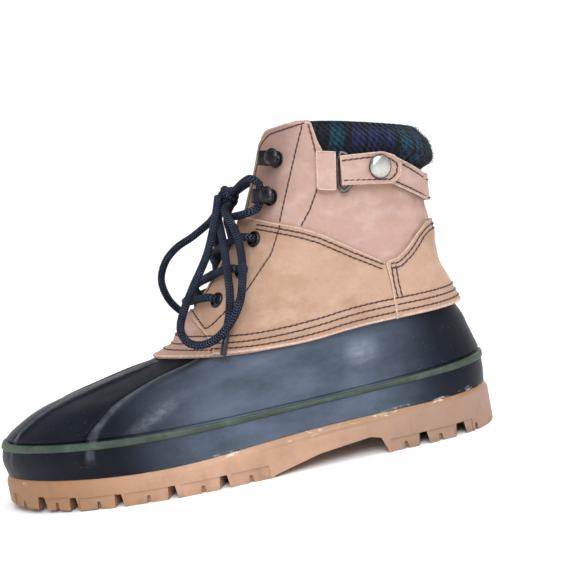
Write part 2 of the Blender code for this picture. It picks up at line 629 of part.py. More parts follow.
def make_eyelets():
    """Flanged rings on the quarters."""
    crown = EYELET_THICKNESS
    profile = (
        (EYELET_HOLE, 0.0), (EYELET_FLANGE, 0.0), (EYELET_FLANGE, crown * 0.45),
        (EYELET_FLANGE - crown * 0.6, crown), (EYELET_HOLE + crown * 0.3, crown),
    )
    for side, name in ((-1, "outer"), (1, "inner")):
        for number, place in enumerate(EYELETS, 1):
            matrix = frame_on_form(place, side, OVERLAY_OUTER + HARDWARE_LIFT)
            new_object(f"eyelet_{name}_{number}", turned(profile, 11, matrix), *BLACK_METAL)


def hook_outline():
    """Side outline of a hook's bent plate: flat foot, a turn at the throat side, and a free end back over it."""
    gap = LACE_DIAMETER / 2 + 2 * CLEARANCE + HOOK_PLATE / 2
    middle = [(-HOOK_LENGTH * 0.30, 0.0), (HOOK_LENGTH * 0.30, 0.0)]
    for degrees in range(-60, 91, 30):
        turn = math.radians(degrees)
        middle.append((HOOK_LENGTH * 0.30 + gap * math.cos(turn), gap + gap * math.sin(turn)))
    middle.append((-HOOK_LENGTH * 0.12, 2 * gap - HOOK_PLATE * 0.5))
    points = np.array(middle)
    run = np.gradient(points, axis=0)
    run /= np.linalg.norm(run, axis=1)[:, None]
    sideways = np.column_stack((-run[:, 1], run[:, 0])) * HOOK_PLATE / 2
    return np.vstack((points + sideways, (points - sideways)[::-1])) + (0.0, HOOK_PLATE / 2 + HOOK_BASE_THICKNESS * 0.5)


def make_hooks():
    """Speed hooks on the shaft, each a bent plate joined to its round base."""
    base = ((0.0, 0.0), (HOOK_BASE, 0.0), (HOOK_BASE, HOOK_BASE_THICKNESS), (0.0, HOOK_BASE_THICKNESS))
    for side, name in ((-1, "outer"), (1, "inner")):
        for number, place in enumerate(HOOKS, 1):
            matrix = frame_on_form(place, side, LEATHER_OUTER + HARDWARE_LIFT)
            shape = bmesh.new()
            corners = [matrix @ Vector((x, -HOOK_WIDTH / 2, z)) for x, z in hook_outline()]
            face = shape.faces.new([shape.verts.new(corner) for corner in corners])
            grown = bmesh.ops.extrude_face_region(shape, geom=[face])
            moved = [item for item in grown["geom"] if isinstance(item, bmesh.types.BMVert)]
            reach = matrix.to_3x3() @ Vector((0.0, HOOK_WIDTH, 0.0))
            bmesh.ops.translate(shape, verts=moved, vec=reach)
            bmesh.ops.recalc_face_normals(shape, faces=shape.faces)
            hook = new_object(f"lace_hook_{name}_{number}", shape, *BLACK_METAL)
            foot = new_object(f"join_hook_base_{name}_{number}", turned(base, 14, matrix), *BLACK_METAL)
            cut(hook, as_cutter(foot), "UNION")


def ring_route(side):
    """Points of a D-ring: a straight bar in the tab and a round side in the strap's fold."""
    middle_x, middle_z = side_x(RING_PLACE[0]), RING_PLACE[1] * SHAFT_HEIGHT
    flat = [(0.0, z * RING_HEIGHT / 2) for z in (-0.62, 0.0, 0.62)]
    bow = []
    for degrees in range(75, -76, -25):
        turn = math.radians(degrees)
        bow.append((RING_DEPTH * (0.12 + 0.88 * math.cos(turn)), RING_HEIGHT / 2 * math.sin(turn)))
    points = []
    for across, up in flat + bow:
        share = across / RING_DEPTH
        offset = RING_AT_TAB + (RING_AT_STRAP - RING_AT_TAB) * share
        x = middle_x + across * math.cos(RING_LEAN) + up * math.sin(RING_LEAN)
        z = middle_z - across * math.sin(RING_LEAN) + up * math.cos(RING_LEAN)
        angle, level = find_on_form((x / LENGTH + 0.5, z / SHAFT_HEIGHT), side, offset)
        points.append(Vector(form_at(angle, level, offset)))
    return points


def tube(points, radius, sides):
    """Closed round tube along points, its rings carried along without twist."""
    shape = bmesh.new()
    sideways = Vector((0.0, 0.0, 1.0))
    rows = []
    for index, point in enumerate(points):
        run = (points[min(index + 1, len(points) - 1)] - points[max(index - 1, 0)]).normalized()
        sideways = (sideways - run * sideways.dot(run)).normalized()
        other = run.cross(sideways)
        row = []
        for k in range(sides):
            turn = 2.0 * math.pi * k / sides
            row.append(shape.verts.new(point + (sideways * math.cos(turn) + other * math.sin(turn)) * radius))
        rows.append(row)
    for lower, upper in zip(rows, rows[1:]):
        for k in range(sides):
            after = (k + 1) % sides
            shape.faces.new((lower[k], lower[after], upper[after], upper[k]))
    shape.faces.new(rows[0])
    shape.faces.new(rows[-1])
    bmesh.ops.recalc_face_normals(shape, faces=shape.faces)
    return shape


def closed_tube(points, radius, sides):
    """Round tube joined end to end."""
    shape = bmesh.new()
    count = len(points)
    rows = []
    outward = Vector((0.0, -1.0, 0.0))
    for index, point in enumerate(points):
        run = (points[(index + 1) % count] - points[index - 1]).normalized()
        sideways = (outward - run * outward.dot(run)).normalized()
        other = run.cross(sideways)
        turns = [2.0 * math.pi * k / sides for k in range(sides)]
        row = [point + (sideways * math.cos(t) + other * math.sin(t)) * radius for t in turns]
        rows.append([shape.verts.new(spot) for spot in row])
    for index in range(count):
        lower, upper = rows[index], rows[(index + 1) % count]
        for k in range(sides):
            after = (k + 1) % sides
            shape.faces.new((lower[k], lower[after], upper[after], upper[k]))
    bmesh.ops.recalc_face_normals(shape, faces=shape.faces)
    return shape


def make_strap():
    """Ring tabs, D-rings, the strap round the back, its folded end and the snap."""
    fits = []
    for side, name in ((-1, "outer"), (1, "inner")):
        start, end = sorted((side * BALL_WIDTH, 0.0))
        ring = ring_route(side)
        new_object(f"d_ring_{name}", closed_tube(ring, RING_WIRE / 2, 8), *PEWTER)
        fit = as_cutter(new_object(f"cut_ring_{name}", closed_tube(ring, RING_WIRE / 2 + CLEARANCE, 8), *PEWTER))
        fits.append(fit)
        tab = wall(f"ring_tab_{name}", STRAP_LEVELS, OVERLAY_INNER, OVERLAY_INNER + TAB_WALL, PINK_LEATHER)
        cut(tab, side_prism(f"keep_tab_{name}", RING_TAB_OUTLINE, start, end), "INTERSECT")
        cut(tab, fit)
    strap = wall("strap", STRAP_LEVELS, STRAP_INNER, STRAP_OUTER, PINK_LEATHER)
    cut(strap, side_prism("keep_strap", STRAP_OUTLINE, -BALL_WIDTH, BALL_WIDTH), "INTERSECT")
    for fit in fits:
        cut(strap, fit)
    strap_end = wall("strap_end", STRAP_LEVELS, STRAP_END_INNER, STRAP_END_OUTER, PINK_LEATHER)
    cut(strap_end, side_prism("keep_strap_end", STRAP_END_OUTLINE, -BALL_WIDTH, 0.0), "INTERSECT")
    cut(strap_end, fits[0])
    matrix = frame_on_form(SNAP, -1, STRAP_END_OUTER + HARDWARE_LIFT)
    dome = [(0.0, 0.0), (SNAP_RADIUS, 0.0), (SNAP_RADIUS, SNAP_HEIGHT * 0.3)]
    dome += [(SNAP_RADIUS * share, SNAP_HEIGHT * rise) for share, rise in ((0.86, 0.68), (0.55, 0.92), (0.0, 1.0))]
    new_object("snap_cap", turned(dome, 20, matrix), *PEWTER)


def smooth_route(points, count):
    """Evenly numbered points on a smooth curve through a route's own points."""
    places = np.array(points, dtype=float)
    lengths = np.concatenate(([0.0], np.cumsum(np.linalg.norm(np.diff(places, axis=0), axis=1))))
    route = []
    for at in np.linspace(0.0, lengths[-1], count):
        route.append(Vector([smooth_value(lengths, places[:, axis], at) for axis in range(3)]))
    return route


def on_form(route):
    """World points of a route given as (angle from the front, level, offset)."""
    return [form_at(angle % 360.0, level, offset) for angle, level, offset in route]


def crossing_route(start_row, end_row, side):
    """A strand from under one side's edge, over the throat, into the other side's eyelet."""
    angle, level = find_on_form(EYELETS[end_row], side, OVERLAY_OUTER)
    low_angle, low_level = find_on_form(EYELETS[start_row], -side, OVERLAY_OUTER)
    away = angle if side < 0 else angle - 360.0
    start = SLOT_ANGLE * (1 if side > 0 else -1)
    half = LACE_DIAMETER / 2
    under, over = TONGUE_OUTER + half + 2 * CLEARANCE, OVERLAY_OUTER + half + 2 * CLEARANCE
    middle = (low_level + level) / 2
    return on_form((
        (start, low_level, under),
        (start * 0.6, low_level * 0.7 + level * 0.3, (under + over) / 2),
        (0.0, middle, over),
        (away * 0.55, middle * 0.35 + level * 0.65, over + half * 0.3),
        (away * 0.84, level, over + half * 0.9),
        (away * 0.98, level, over + half * 0.8),
        (away, level, LACE_DIP),
    ))


def hook_route(side):
    """The top strand: from under the far edge, over the throat, through the second hook and to the knot."""
    low_angle, low_level = find_on_form(EYELETS[-1], -side, OVERLAY_OUTER)
    start = SLOT_ANGLE * (1 if side > 0 else -1)
    half = LACE_DIAMETER / 2
    under, over = TONGUE_OUTER + half + 2 * CLEARANCE, OVERLAY_OUTER + half + 2 * CLEARANCE
    matrix = frame_on_form(HOOKS[0], side, LEATHER_OUTER + HARDWARE_LIFT)
    rise = HOOK_BASE_THICKNESS * 0.5 + HOOK_PLATE + LACE_DIAMETER / 2 + 2 * CLEARANCE
    up = 1.0 if (matrix @ Vector((0.0, 1.0, 0.0))).z > matrix.translation.z else -1.0
    inside = HOOK_LENGTH * 0.30
    bends = (
        (inside + 0.006, -0.0100, rise + 0.0034), (inside, -0.0070, rise + 0.0009), (inside - 0.0007, -0.003, rise),
        (inside - 0.0007, 0.003, rise), (inside, 0.0070, rise + 0.0009), (inside + 0.005, 0.0095, rise + 0.0034),
    )
    around = [np.array(matrix @ Vector((x, up * y, z))) for x, y, z in bends]
    first = on_form((
        (start, low_level, under),
        (start * 0.6, low_level + 0.2, (under + over) / 2),
        (0.0, low_level + 0.42, over),
    ))
    knot = np.array(KNOT_CENTRE)
    away = (around[-1] - knot) / np.linalg.norm(around[-1] - knot)
    end = knot + away * (1.0 / np.linalg.norm(away / np.array(KNOT_RADII)) + 2 * CLEARANCE)
    return first + around + [end]


def make_crossings():
    """The lace across the throat: a bar over the lowest eyelets and three crossings above it."""
    half = LACE_DIAMETER / 2
    over = OVERLAY_OUTER + half + 2 * CLEARANCE
    angle, level = find_on_form(EYELETS[0], -1, OVERLAY_OUTER)
    far_angle, far_level = find_on_form(EYELETS[0], 1, OVERLAY_OUTER)
    far_angle -= 360.0
    bar = on_form((
        (angle, level, LACE_DIP), (angle * 0.98, level, over + half * 0.8), (angle * 0.84, level, over + half * 0.9),
        (angle * 0.5, level, over + half * 0.4), (0.0, level, over), (far_angle * 0.5, far_level, over + half * 0.4),
        (far_angle * 0.84, far_level, over + half * 0.9), (far_angle * 0.98, far_level, over + half * 0.8),
        (far_angle, far_level, LACE_DIP),
    ))
    new_object("lace_bar", tube(smooth_route(bar, 18), half, LACE_SIDES), *BRAID)
    pairs = [[crossing_route(row, row + 1, side) for side in (-1, 1)] for row in range(len(EYELETS) - 1)]
    pairs.append([hook_route(side) for side in (-1, 1)])
    for number, (one, other) in enumerate(pairs, 1):
        made = new_object(f"lace_crossing_{number}", tube(smooth_route(one, 16), half, LACE_SIDES), *BRAID)
        second = new_object(f"join_lace_{number}", tube(smooth_route(other, 16), half, LACE_SIDES), *BRAID)
        cut(made, as_cutter(second), "UNION")


def cord(name, route, count):
    """A free stretch of lace: a round curve with filled caps."""
    curve = bpy.data.curves.new(name, "CURVE")
    curve.dimensions = "3D"
    curve.bevel_depth = LACE_DIAMETER / 2
    curve.bevel_resolution = 2
    curve.use_fill_caps = True
    spline = curve.splines.new("POLY")
    points = smooth_route(route, count)
    spline.points.add(len(points) - 1)
    for target, point in zip(spline.points, points):
        target.co = (*point, 1.0)
    made = bpy.data.objects.new(name, curve)
    bpy.context.collection.objects.link(made)
    finish(made, *BRAID)


def make_bow():
    """Knot, two loops, two ends with their aglets."""
    knot = bmesh.new()
    place = Matrix.Translation(KNOT_CENTRE) @ Matrix.Diagonal((*KNOT_RADII, 1.0))
    bmesh.ops.create_icosphere(knot, subdivisions=2, radius=1.0, matrix=place)
    new_object("lace_knot", knot, *BRAID)
    cord("lace_loop_outer", OUTER_LOOP, 21)
    cord("lace_loop_inner", INNER_LOOP, 21)
    for name, route in (("outer", OUTER_END), ("inner", INNER_END)):
        cord(f"lace_end_{name}", route, 11)
        tip, before = Vector(route[-1]), Vector(route[-2])
        run = (tip - before).normalized()
        start = tip + run * CLEARANCE
        aglet = tube([start, start + run * AGLET_LENGTH], AGLET_DIAMETER / 2, 10)
        new_object(f"aglet_{name}", aglet, *AGLET_TIP)


def clear_scene():
    """Empties the scene."""
    for item in list(bpy.data.objects):
        bpy.data.objects.remove(item, do_unlink=True)


def main():
    """Builds the boot."""
    clear_scene()
    make_outsole()
    make_insole()
    make_upper()
    make_tongue()
    make_cuff()
    make_eyelets()
    make_hooks()
    make_strap()
    make_crossings()
    make_bow()


main()
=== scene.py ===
import math

import bmesh
import bpy
import numpy as np
from mathutils import Matrix, Vector


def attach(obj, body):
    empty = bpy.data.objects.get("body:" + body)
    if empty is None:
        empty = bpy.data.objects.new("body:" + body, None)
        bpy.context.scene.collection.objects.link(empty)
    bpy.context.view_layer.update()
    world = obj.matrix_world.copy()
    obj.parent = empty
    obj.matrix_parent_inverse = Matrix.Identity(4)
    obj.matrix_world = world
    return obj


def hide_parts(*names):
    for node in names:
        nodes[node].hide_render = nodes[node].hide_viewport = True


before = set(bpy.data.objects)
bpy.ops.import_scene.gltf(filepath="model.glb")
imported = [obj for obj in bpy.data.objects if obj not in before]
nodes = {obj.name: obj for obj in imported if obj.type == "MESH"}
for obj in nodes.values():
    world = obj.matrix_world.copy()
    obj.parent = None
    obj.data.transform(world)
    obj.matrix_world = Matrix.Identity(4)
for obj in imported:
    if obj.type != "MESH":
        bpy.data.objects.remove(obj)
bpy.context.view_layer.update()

# Sizes of the boot in metres, the same as the solids have
LENGTH = 0.296
BALL_WIDTH = 0.104
SHELL_HEIGHT = 0.072
SHAFT_HEIGHT = 0.190
SHAFT_RISE = SHAFT_HEIGHT - SHELL_HEIGHT
TOE_SPRING = 0.005
LUG_HEIGHT = 0.0075
SOLE_LEDGE = 0.0015
SOLE_BEVEL = 0.0035
LUG_SETBACK = 0.0011
GROOVE_WIDTH = 0.0040
NOTCH_WIDTH = 0.0034
NOTCH_DEPTH = 0.0030
CHANNEL_WIDTH = 0.0050
ARCH_RISE = 0.0110
CLEARANCE = 0.0003
RUBBER_WALL = 0.0025
LEATHER_WALL = 0.0020
OVERLAY_WALL = 0.0016
COUNTER_WALL = 0.0020
STRIPE_WALL = 0.0009
RIDGE_HEIGHT = 0.0014
TONGUE_WALL = 0.0022
CUFF_WALL = 0.0050
CUFF_BULGE = 0.0085
STRAP_WALL = 0.0022
STRAP_LIFT = 0.0010
STRAP_END_WALL = 0.0018
TAB_WALL = 0.0040
THROAT_HALF = 0.0130
THROAT_MIDDLE = -0.0034
LACE_DIAMETER = 0.0046
HALF_LACE = LACE_DIAMETER / 2
LACE_SIDES = 14
EYELET_HOLE = 0.0029
EYELET_FLANGE = 0.0046
EYELET_THICKNESS = 0.0012
HOOK_WIDTH = 0.0075
HOOK_LENGTH = 0.0120
HOOK_BEND = HOOK_LENGTH * 0.30
HOOK_PLATE = 0.0012
HOOK_BASE = 0.0046
HOOK_BASE_THICKNESS = 0.0014
HOOK_HEAD = 0.0048
RING_WIRE = 0.0024
RING_HEIGHT = 0.0215
RING_DEPTH = 0.0090
SNAP_RADIUS = 0.0063
SNAP_HEIGHT = 0.0032
SNAP_RIM = 0.0005
SNAP_RIM_HEIGHT = 0.0006
AGLET_LENGTH = 0.0150
AGLET_DIAMETER = 0.0036
HARDWARE_LIFT = 0.0007

LEATHER_INNER = CLEARANCE
LEATHER_OUTER = LEATHER_INNER + LEATHER_WALL
OVERLAY_INNER = LEATHER_OUTER + CLEARANCE
OVERLAY_OUTER = OVERLAY_INNER + OVERLAY_WALL
COUNTER_OUTER = OVERLAY_INNER + COUNTER_WALL
STRAP_INNER = LEATHER_OUTER + STRAP_LIFT
STRAP_OUTER = STRAP_INNER + STRAP_WALL
STRAP_END_INNER = STRAP_OUTER + CLEARANCE
STRAP_END_OUTER = STRAP_END_INNER + STRAP_END_WALL
TONGUE_OUTER = -RUBBER_WALL - CLEARANCE
TONGUE_INNER = TONGUE_OUTER - TONGUE_WALL
RING_AT_TAB = OVERLAY_INNER + TAB_WALL / 2
RING_AT_STRAP = STRAP_OUTER + CLEARANCE / 2

# Sections of the form: name, front and back as shares of LENGTH, heights at four stations, half widths at
# six. A level is a section's number, counted from 0, with the places between them as fractions.
SECTIONS = (
    ("sole_edge", 0.010, 0.990, (0.285, 0.236, 0.312, 0.326), (0.615, 0.577, 0.500, 0.413, 0.452, 0.635)),
    ("bulge", 0.005, 0.993, (0.417, 0.375, 0.430, 0.444), (0.625, 0.587, 0.510, 0.423, 0.457, 0.635)),
    ("stripe", 0.017, 0.9915, (0.556, 0.518, 0.528, 0.583), (0.606, 0.582, 0.505, 0.418, 0.452, 0.615)),
    ("toe_round", 0.044, 0.985, (0.646, 0.625, 0.639, 0.694), (0.558, 0.567, 0.500, 0.418, 0.442, 0.587)),
    ("toe_top", 0.101, 0.978, (0.757, 0.750, 0.764, 0.792), (0.481, 0.538, 0.490, 0.413, 0.433, 0.558)),
    ("low_vamp", 0.203, 0.971, (0.861, 0.845, 0.880, 0.896), (0.385, 0.481, 0.471, 0.409, 0.423, 0.529)),
    ("topline", 0.348, 0.959, (1.000, 0.972, 1.014, 1.000), (0.317, 0.413, 0.433, 0.404, 0.409, 0.481)),
    ("lap", 0.395, 0.944, (1.064, 1.102, 1.114, 1.102), (0.288, 0.394, 0.413, 0.389, 0.394, 0.452)),
    ("instep", 0.443, 0.929, (1.195, 1.237, 1.237, 1.220), (0.288, 0.380, 0.394, 0.375, 0.370, 0.413)),
    ("lower_shaft", 0.514, 0.930, (1.390, 1.381, 1.364, 1.356), (0.288, 0.361, 0.375, 0.361, 0.351, 0.385)),
    ("ankle", 0.568, 0.929, (1.593, 1.559, 1.525, 1.517), (0.288, 0.351, 0.365, 0.356, 0.346, 0.370)),
    ("upper_shaft", 0.601, 0.933, (1.771, 1.720, 1.669, 1.661), (0.288, 0.351, 0.365, 0.356, 0.346, 0.365)),
    ("collar", 0.628, 0.943, (1.924, 1.864, 1.800, 1.763), (0.298, 0.356, 0.370, 0.361, 0.351, 0.365)),
    ("above_collar", 0.645, 0.951, (2.030, 1.985, 1.930, 1.880), (0.308, 0.365, 0.375, 0.365, 0.356, 0.370)),
)
STRIPE_TOP = 2.1
TOPLINE = 6.0
RIM = 13.0
HEIGHT_STATIONS = np.array((0.0, 0.33, 0.67, 1.0))
WIDTH_STATIONS = np.array((0.0, 0.2, 0.4, 0.6, 0.8, 1.0))
MIDDLE_LINE = np.array((0.041, 0.031, -0.013, -0.041, -0.027, -0.017))
RIDGES = (19.0, 47.0)
RIDGE_HALF = 2.6
RIDGE_LINE = 2.4
RIDGE_DRIFT = 0.17
DRIFT_LEVELS = 2.5
LINE_DEPTH = 0.0010
GROOVE_DEPTH = 0.0009

# Outlines in the side view: share of LENGTH from the toe, share of SHAFT_HEIGHT
QUARTER_OUTLINE = (
    (0.419, 0.526), (0.438, 0.505), (0.473, 0.432), (0.490, 0.300), (0.826, 0.300), (0.828, 0.489),
    (0.825, 0.548), (0.713, 0.668), (0.679, 0.695), (0.628, 0.726), (0.574, 0.761), (0.500, 0.800),
)
COUNTER_OUTLINE = (
    (0.828, 0.300), (0.830, 0.489), (0.827, 0.551), (0.851, 0.555), (0.875, 0.579), (0.895, 0.605),
    (0.919, 0.637), (0.943, 0.647), (1.100, 0.647), (1.100, 0.300),
)
ABOVE_COLLAR_OUTLINE = (
    (0.500, 0.780), (0.605, 0.868), (0.618, 0.937), (0.652, 0.997), (0.733, 1.003), (0.740, 0.932),
    (0.747, 0.895), (0.777, 0.847), (0.855, 0.837), (0.920, 0.758), (1.100, 0.742), (1.100, 1.400),
    (0.400, 1.400), (0.400, 0.780),
)
THROAT_OUTLINE = (
    (0.399, 0.568), (0.473, 0.453), (0.601, 0.579), (0.709, 0.789), (0.723, 1.300), (0.400, 1.300),
)
RING_TAB_OUTLINE = ((0.735, 0.900), (0.768, 0.889), (0.757, 0.784), (0.725, 0.795))
STRAP_OUTLINE = (
    (0.775, 0.874), (0.855, 0.865), (0.882, 0.842), (0.936, 0.787), (1.100, 0.776), (1.100, 0.692),
    (0.936, 0.705), (0.865, 0.774), (0.770, 0.795),
)
STRAP_END_OUTLINE = (
    (0.775, 0.874), (0.855, 0.865), (0.876, 0.850), (0.887, 0.825), (0.882, 0.792), (0.865, 0.774),
    (0.770, 0.795),
)
EYELETS = ((0.500, 0.532), (0.557, 0.603), (0.591, 0.689))
HOOKS = ((0.635, 0.800), (0.659, 0.905))
SNAP = (0.845, 0.826)
RING_PLACE = (0.7665, 0.832)
RING_LEAN = math.radians(8.0)

# Lugs along the sole, shares of LENGTH
FOREFOOT_GAPS = (0.092, 0.166, 0.261, 0.366, 0.463)
ARCH = ((0.548, 0.12), (0.640, 0.72), (0.738, 1.0), (0.757, 0.85), (0.766, 0.20))
HEEL_GAPS = (0.836, 0.907)
LUG_ENDS = (0.020, 0.548, 0.768, 0.985)
CHANNEL_RUNS = ((0.07, 0.57), (0.75, 0.95))
CHANNEL_SHARE = 0.8
CHANNEL_PLACE = 0.010
LUG_SLANT = math.radians(12.0)
GAP_FLARE = 2.1
NOTCH_FLARE = 3.0
LUG_STEP = 0.84
END_LUG_STEP = 0.34
SPRING_START = 0.27
SPRING_CURVE = 1.6

# The bow's routes in metres, as the solids have them
SLOT_ANGLE = 14.5
KNOT_CENTRE = (0.0165, -0.0049, 0.1575)
KNOT_RADII = (0.0062, 0.0078, 0.0072)
OUTER_LOOP = (
    (0.0108, -0.0121, 0.1581), (0.0090, -0.0174, 0.1515), (0.0050, -0.0259, 0.1395),
    (-0.0010, -0.0319, 0.1260), (-0.0120, -0.0374, 0.1095), (-0.0192, -0.0424, 0.0970),
    (-0.0215, -0.0454, 0.0895), (-0.0190, -0.0479, 0.0830), (-0.0130, -0.0499, 0.0800),
    (-0.0040, -0.0519, 0.0813), (0.0060, -0.0521, 0.0885), (0.0135, -0.0509, 0.0990),
    (0.0175, -0.0474, 0.1120), (0.0190, -0.0424, 0.1250), (0.0178, -0.0344, 0.1375),
    (0.0135, -0.0234, 0.1490), (0.0161, -0.0120, 0.1523),
)
INNER_LOOP = (
    (0.0114, 0.0021, 0.1580), (0.0083, 0.0076, 0.1515), (0.0032, 0.0109, 0.1460), (-0.0030, 0.0124, 0.1422),
    (-0.0110, 0.0141, 0.1380), (-0.0210, 0.0166, 0.1338), (-0.0300, 0.0201, 0.1265),
    (-0.0353, 0.0241, 0.1155), (-0.0338, 0.0291, 0.1030), (-0.0280, 0.0336, 0.0935),
    (-0.0190, 0.0376, 0.0860), (-0.0090, 0.0406, 0.0835), (0.0010, 0.0416, 0.0875), (0.0080, 0.0406, 0.0970),
    (0.0113, 0.0381, 0.1090), (0.0123, 0.0341, 0.1200), (0.0123, 0.0286, 0.1310), (0.0120, 0.0216, 0.1410),
    (0.0133, 0.0149, 0.1480), (0.0173, 0.0027, 0.1531),
)
OUTER_END = (
    (0.0110, -0.0069, 0.1523), (0.0088, -0.0117, 0.1468), (0.0093, -0.0209, 0.1390),
    (0.0098, -0.0299, 0.1315), (0.0098, -0.0374, 0.1225), (0.0094, -0.0399, 0.1140),
    (0.0085, -0.0409, 0.1035), (0.0062, -0.0439, 0.0930), (0.0038, -0.0459, 0.0860),
)
INNER_END = (
    (0.0113, -0.0007, 0.1526), (0.0076, -0.0009, 0.1462), (0.0048, 0.0051, 0.1385), (0.0032, 0.0151, 0.1295),
    (0.0022, 0.0247, 0.1205), (0.0014, 0.0283, 0.1115), (0.0000, 0.0309, 0.1020), (-0.0020, 0.0331, 0.0935),
    (-0.0036, 0.0351, 0.0870),
)


def x_at(share):
    """Metres along the boot of a share of its length from the toe."""
    return (share - 0.5) * LENGTH


def in_scene(name, data):
    """Adds an object with its data to the scene."""
    made = bpy.data.objects.new(name, data)
    bpy.context.scene.collection.objects.link(made)
    return made


def axes(*directions):
    """Turn whose local X, Y and Z are three directions."""
    return Matrix(directions).transposed().to_4x4()


# Camera: solved from the photograph's view of the sole, toe, heel and collar
FOCAL_PIXELS = 943.8
PICTURE_PIXELS = 570.0
SENSOR_WIDTH = 36.0
camera_data = bpy.data.cameras.new("camera")
camera = in_scene("camera", camera_data)
view_right = Vector((0.98221, -0.01338, -0.18729))
view_up = Vector((0.18777, 0.07000, 0.97972))
view_back = view_right.cross(view_up).normalized()
camera.matrix_world = Matrix.Translation((0.03938, -0.560, 0.140)) @ axes(view_right, view_up, view_back)
camera_data.sensor_width = SENSOR_WIDTH
camera_data.lens = FOCAL_PIXELS / PICTURE_PIXELS * SENSOR_WIDTH
camera_data.clip_start = 0.01
camera_data.clip_end = 20.0
bpy.context.scene.camera = camera


# Shader maths

class Wire:
    """A node's output that adds, subtracts, multiplies and divides with other outputs and numbers."""

    def __init__(self, tree, output):
        self.tree = tree
        self.output = output

    def maths(self, operation, *terms):
        node = self.tree.nodes.new("ShaderNodeMath")
        node.operation = operation
        for socket, term in zip(node.inputs, terms):
            if isinstance(term, Wire):
                self.tree.links.new(term.output, socket)
            else:
                socket.default_value = term
        return Wire(self.tree, node.outputs[0])

    def __add__(self, other):
        return self.maths("ADD", self, other)

    def __radd__(self, other):
        return self.maths("ADD", other, self)

    def __sub__(self, other):
        return self.maths("SUBTRACT", self, other)

    def __rsub__(self, other):
        return self.maths("SUBTRACT", other, self)

    def __mul__(self, other):
        return self.maths("MULTIPLY", self, other)

    def __rmul__(self, other):
        return self.maths("MULTIPLY", other, self)

    def __truediv__(self, other):
        return self.maths("DIVIDE", self, other)

    def sine(self):
        return self.maths("SINE", self)

    def absolute(self):
        return self.maths("ABSOLUTE", self)

    def smallest(self, other):
        return self.maths("MINIMUM", self, other)

    def fraction(self):
        return self.maths("FRACT", self)


class Finish:
    """A material for one of the boot's surfaces."""

    def __init__(self, name, roughness, **fixed):
        self.material = bpy.data.materials.new(name)
        self.material.use_nodes = True
        self.tree = self.material.node_tree
        self.shader = self.tree.nodes["Principled BSDF"]
        self.shader.inputs["Roughness"].default_value = roughness
        for socket, value in fixed.items():
            self.shader.inputs[socket.replace("_", " ")].default_value = value

    def node(self, kind, settings=None, output=0, **sockets):
        """Adds a node: its settings first, then its sockets' values or links."""
        made = self.tree.nodes.new(kind)
        stops = (settings or {}).pop("stops", None)
        for key, value in (settings or {}).items():
            setattr(made, key, value)
        if stops:
            ramp = made.color_ramp
            while len(ramp.elements) < len(stops):
                ramp.elements.new(0.5)
            for element, (place, colour) in zip(ramp.elements, stops):
                element.position = place
                element.color = (*colour, 1.0)
        for key, value in sockets.items():
            numbered = key.startswith("in") and key[2:].isdigit()
            socket = made.inputs[int(key[2:]) if numbered else key]
            if isinstance(value, Wire):
                self.tree.links.new(value.output, socket)
            else:
                socket.default_value = value
        return Wire(self.tree, made.outputs[output])

    def place(self):
        """Object coordinates, in metres."""
        return self.node("ShaderNodeTexCoord", output=3)

    def axis(self, name):
        """One of the object coordinates."""
        return self.node("ShaderNodeSeparateXYZ", in0=self.place(), output="XYZ".index(name))

    def surface(self, name):
        """X or Y of the piece's own UV map, in metres, or turns round a cord."""
        uv = self.node("ShaderNodeTexCoord", output=2)
        return self.node("ShaderNodeSeparateXYZ", in0=uv, output="XY".index(name))

    def layer(self, name):
        """A number that the piece's own points carry."""
        return self.node("ShaderNodeAttribute", {"attribute_name": name}, output=2)

    def noise(self, scale, detail=3.0, rough=0.55, stretch=(1.0, 1.0, 1.0)):
        """Noise between about 0.2 and 0.8."""
        spot = self.node("ShaderNodeMapping", in0=self.place(), Scale=stretch)
        return self.node("ShaderNodeTexNoise", Vector=spot, Scale=scale, Detail=detail, Roughness=rough)

    def cells(self, scale):
        """Distance to the edges of small cells."""
        settings = {"feature": "DISTANCE_TO_EDGE"}
        return self.node("ShaderNodeTexVoronoi", settings, Vector=self.place(), Scale=scale)

    def band(self, value, low, high, start=0.0, end=1.0):
        """Smooth step from start to end while a value goes from low to high."""
        settings = {"interpolation_type": "SMOOTHSTEP"}
        return self.node(
            "ShaderNodeMapRange", settings, in0=value, in1=low, in2=high, in3=start, in4=end,
        )

    def fall(self, value, low, high):
        """Smooth step from 1 down to 0 while a value goes from low to high."""
        return self.band(value, low, high, 1.0, 0.0)

    def near(self, value, reach):
        """1 where a value is 0, and 0 from a distance on."""
        return self.fall(value.absolute(), 0.0, reach)

    def from_front(self):
        """Degrees round the form, counted from the toe on either side."""
        return self.layer("across").smallest(360.0 - self.layer("across"))

    def mix(self, share, first, second):
        """Mix of two colours."""
        first = first if isinstance(first, Wire) else (*first, 1.0)
        second = second if isinstance(second, Wire) else (*second, 1.0)
        return self.node("ShaderNodeMix", {"data_type": "RGBA"}, output=2, in0=share, in6=first, in7=second)

    def ramp(self, value, stops):
        """Plain bands of colour along a value."""
        made = self.node("ShaderNodeValToRGB", {"stops": stops}, in0=value)
        made.output.node.color_ramp.interpolation = "CONSTANT"
        return made

    def bump(self, height, distance, below=None):
        """Relief of a height between 0 and 1, in metres."""
        sockets = {"Height": height, "Distance": distance, "Strength": 1.0}
        if below is not None:
            sockets["Normal"] = below
        return self.node("ShaderNodeBump", **sockets)

    def wear(self, **links):
        """Links what changes over the surface to the shader."""
        for key, value in links.items():
            self.tree.links.new(value.output, self.shader.inputs[key.replace("_", " ")])
        return self.material


# The form of the last, for arrays of points

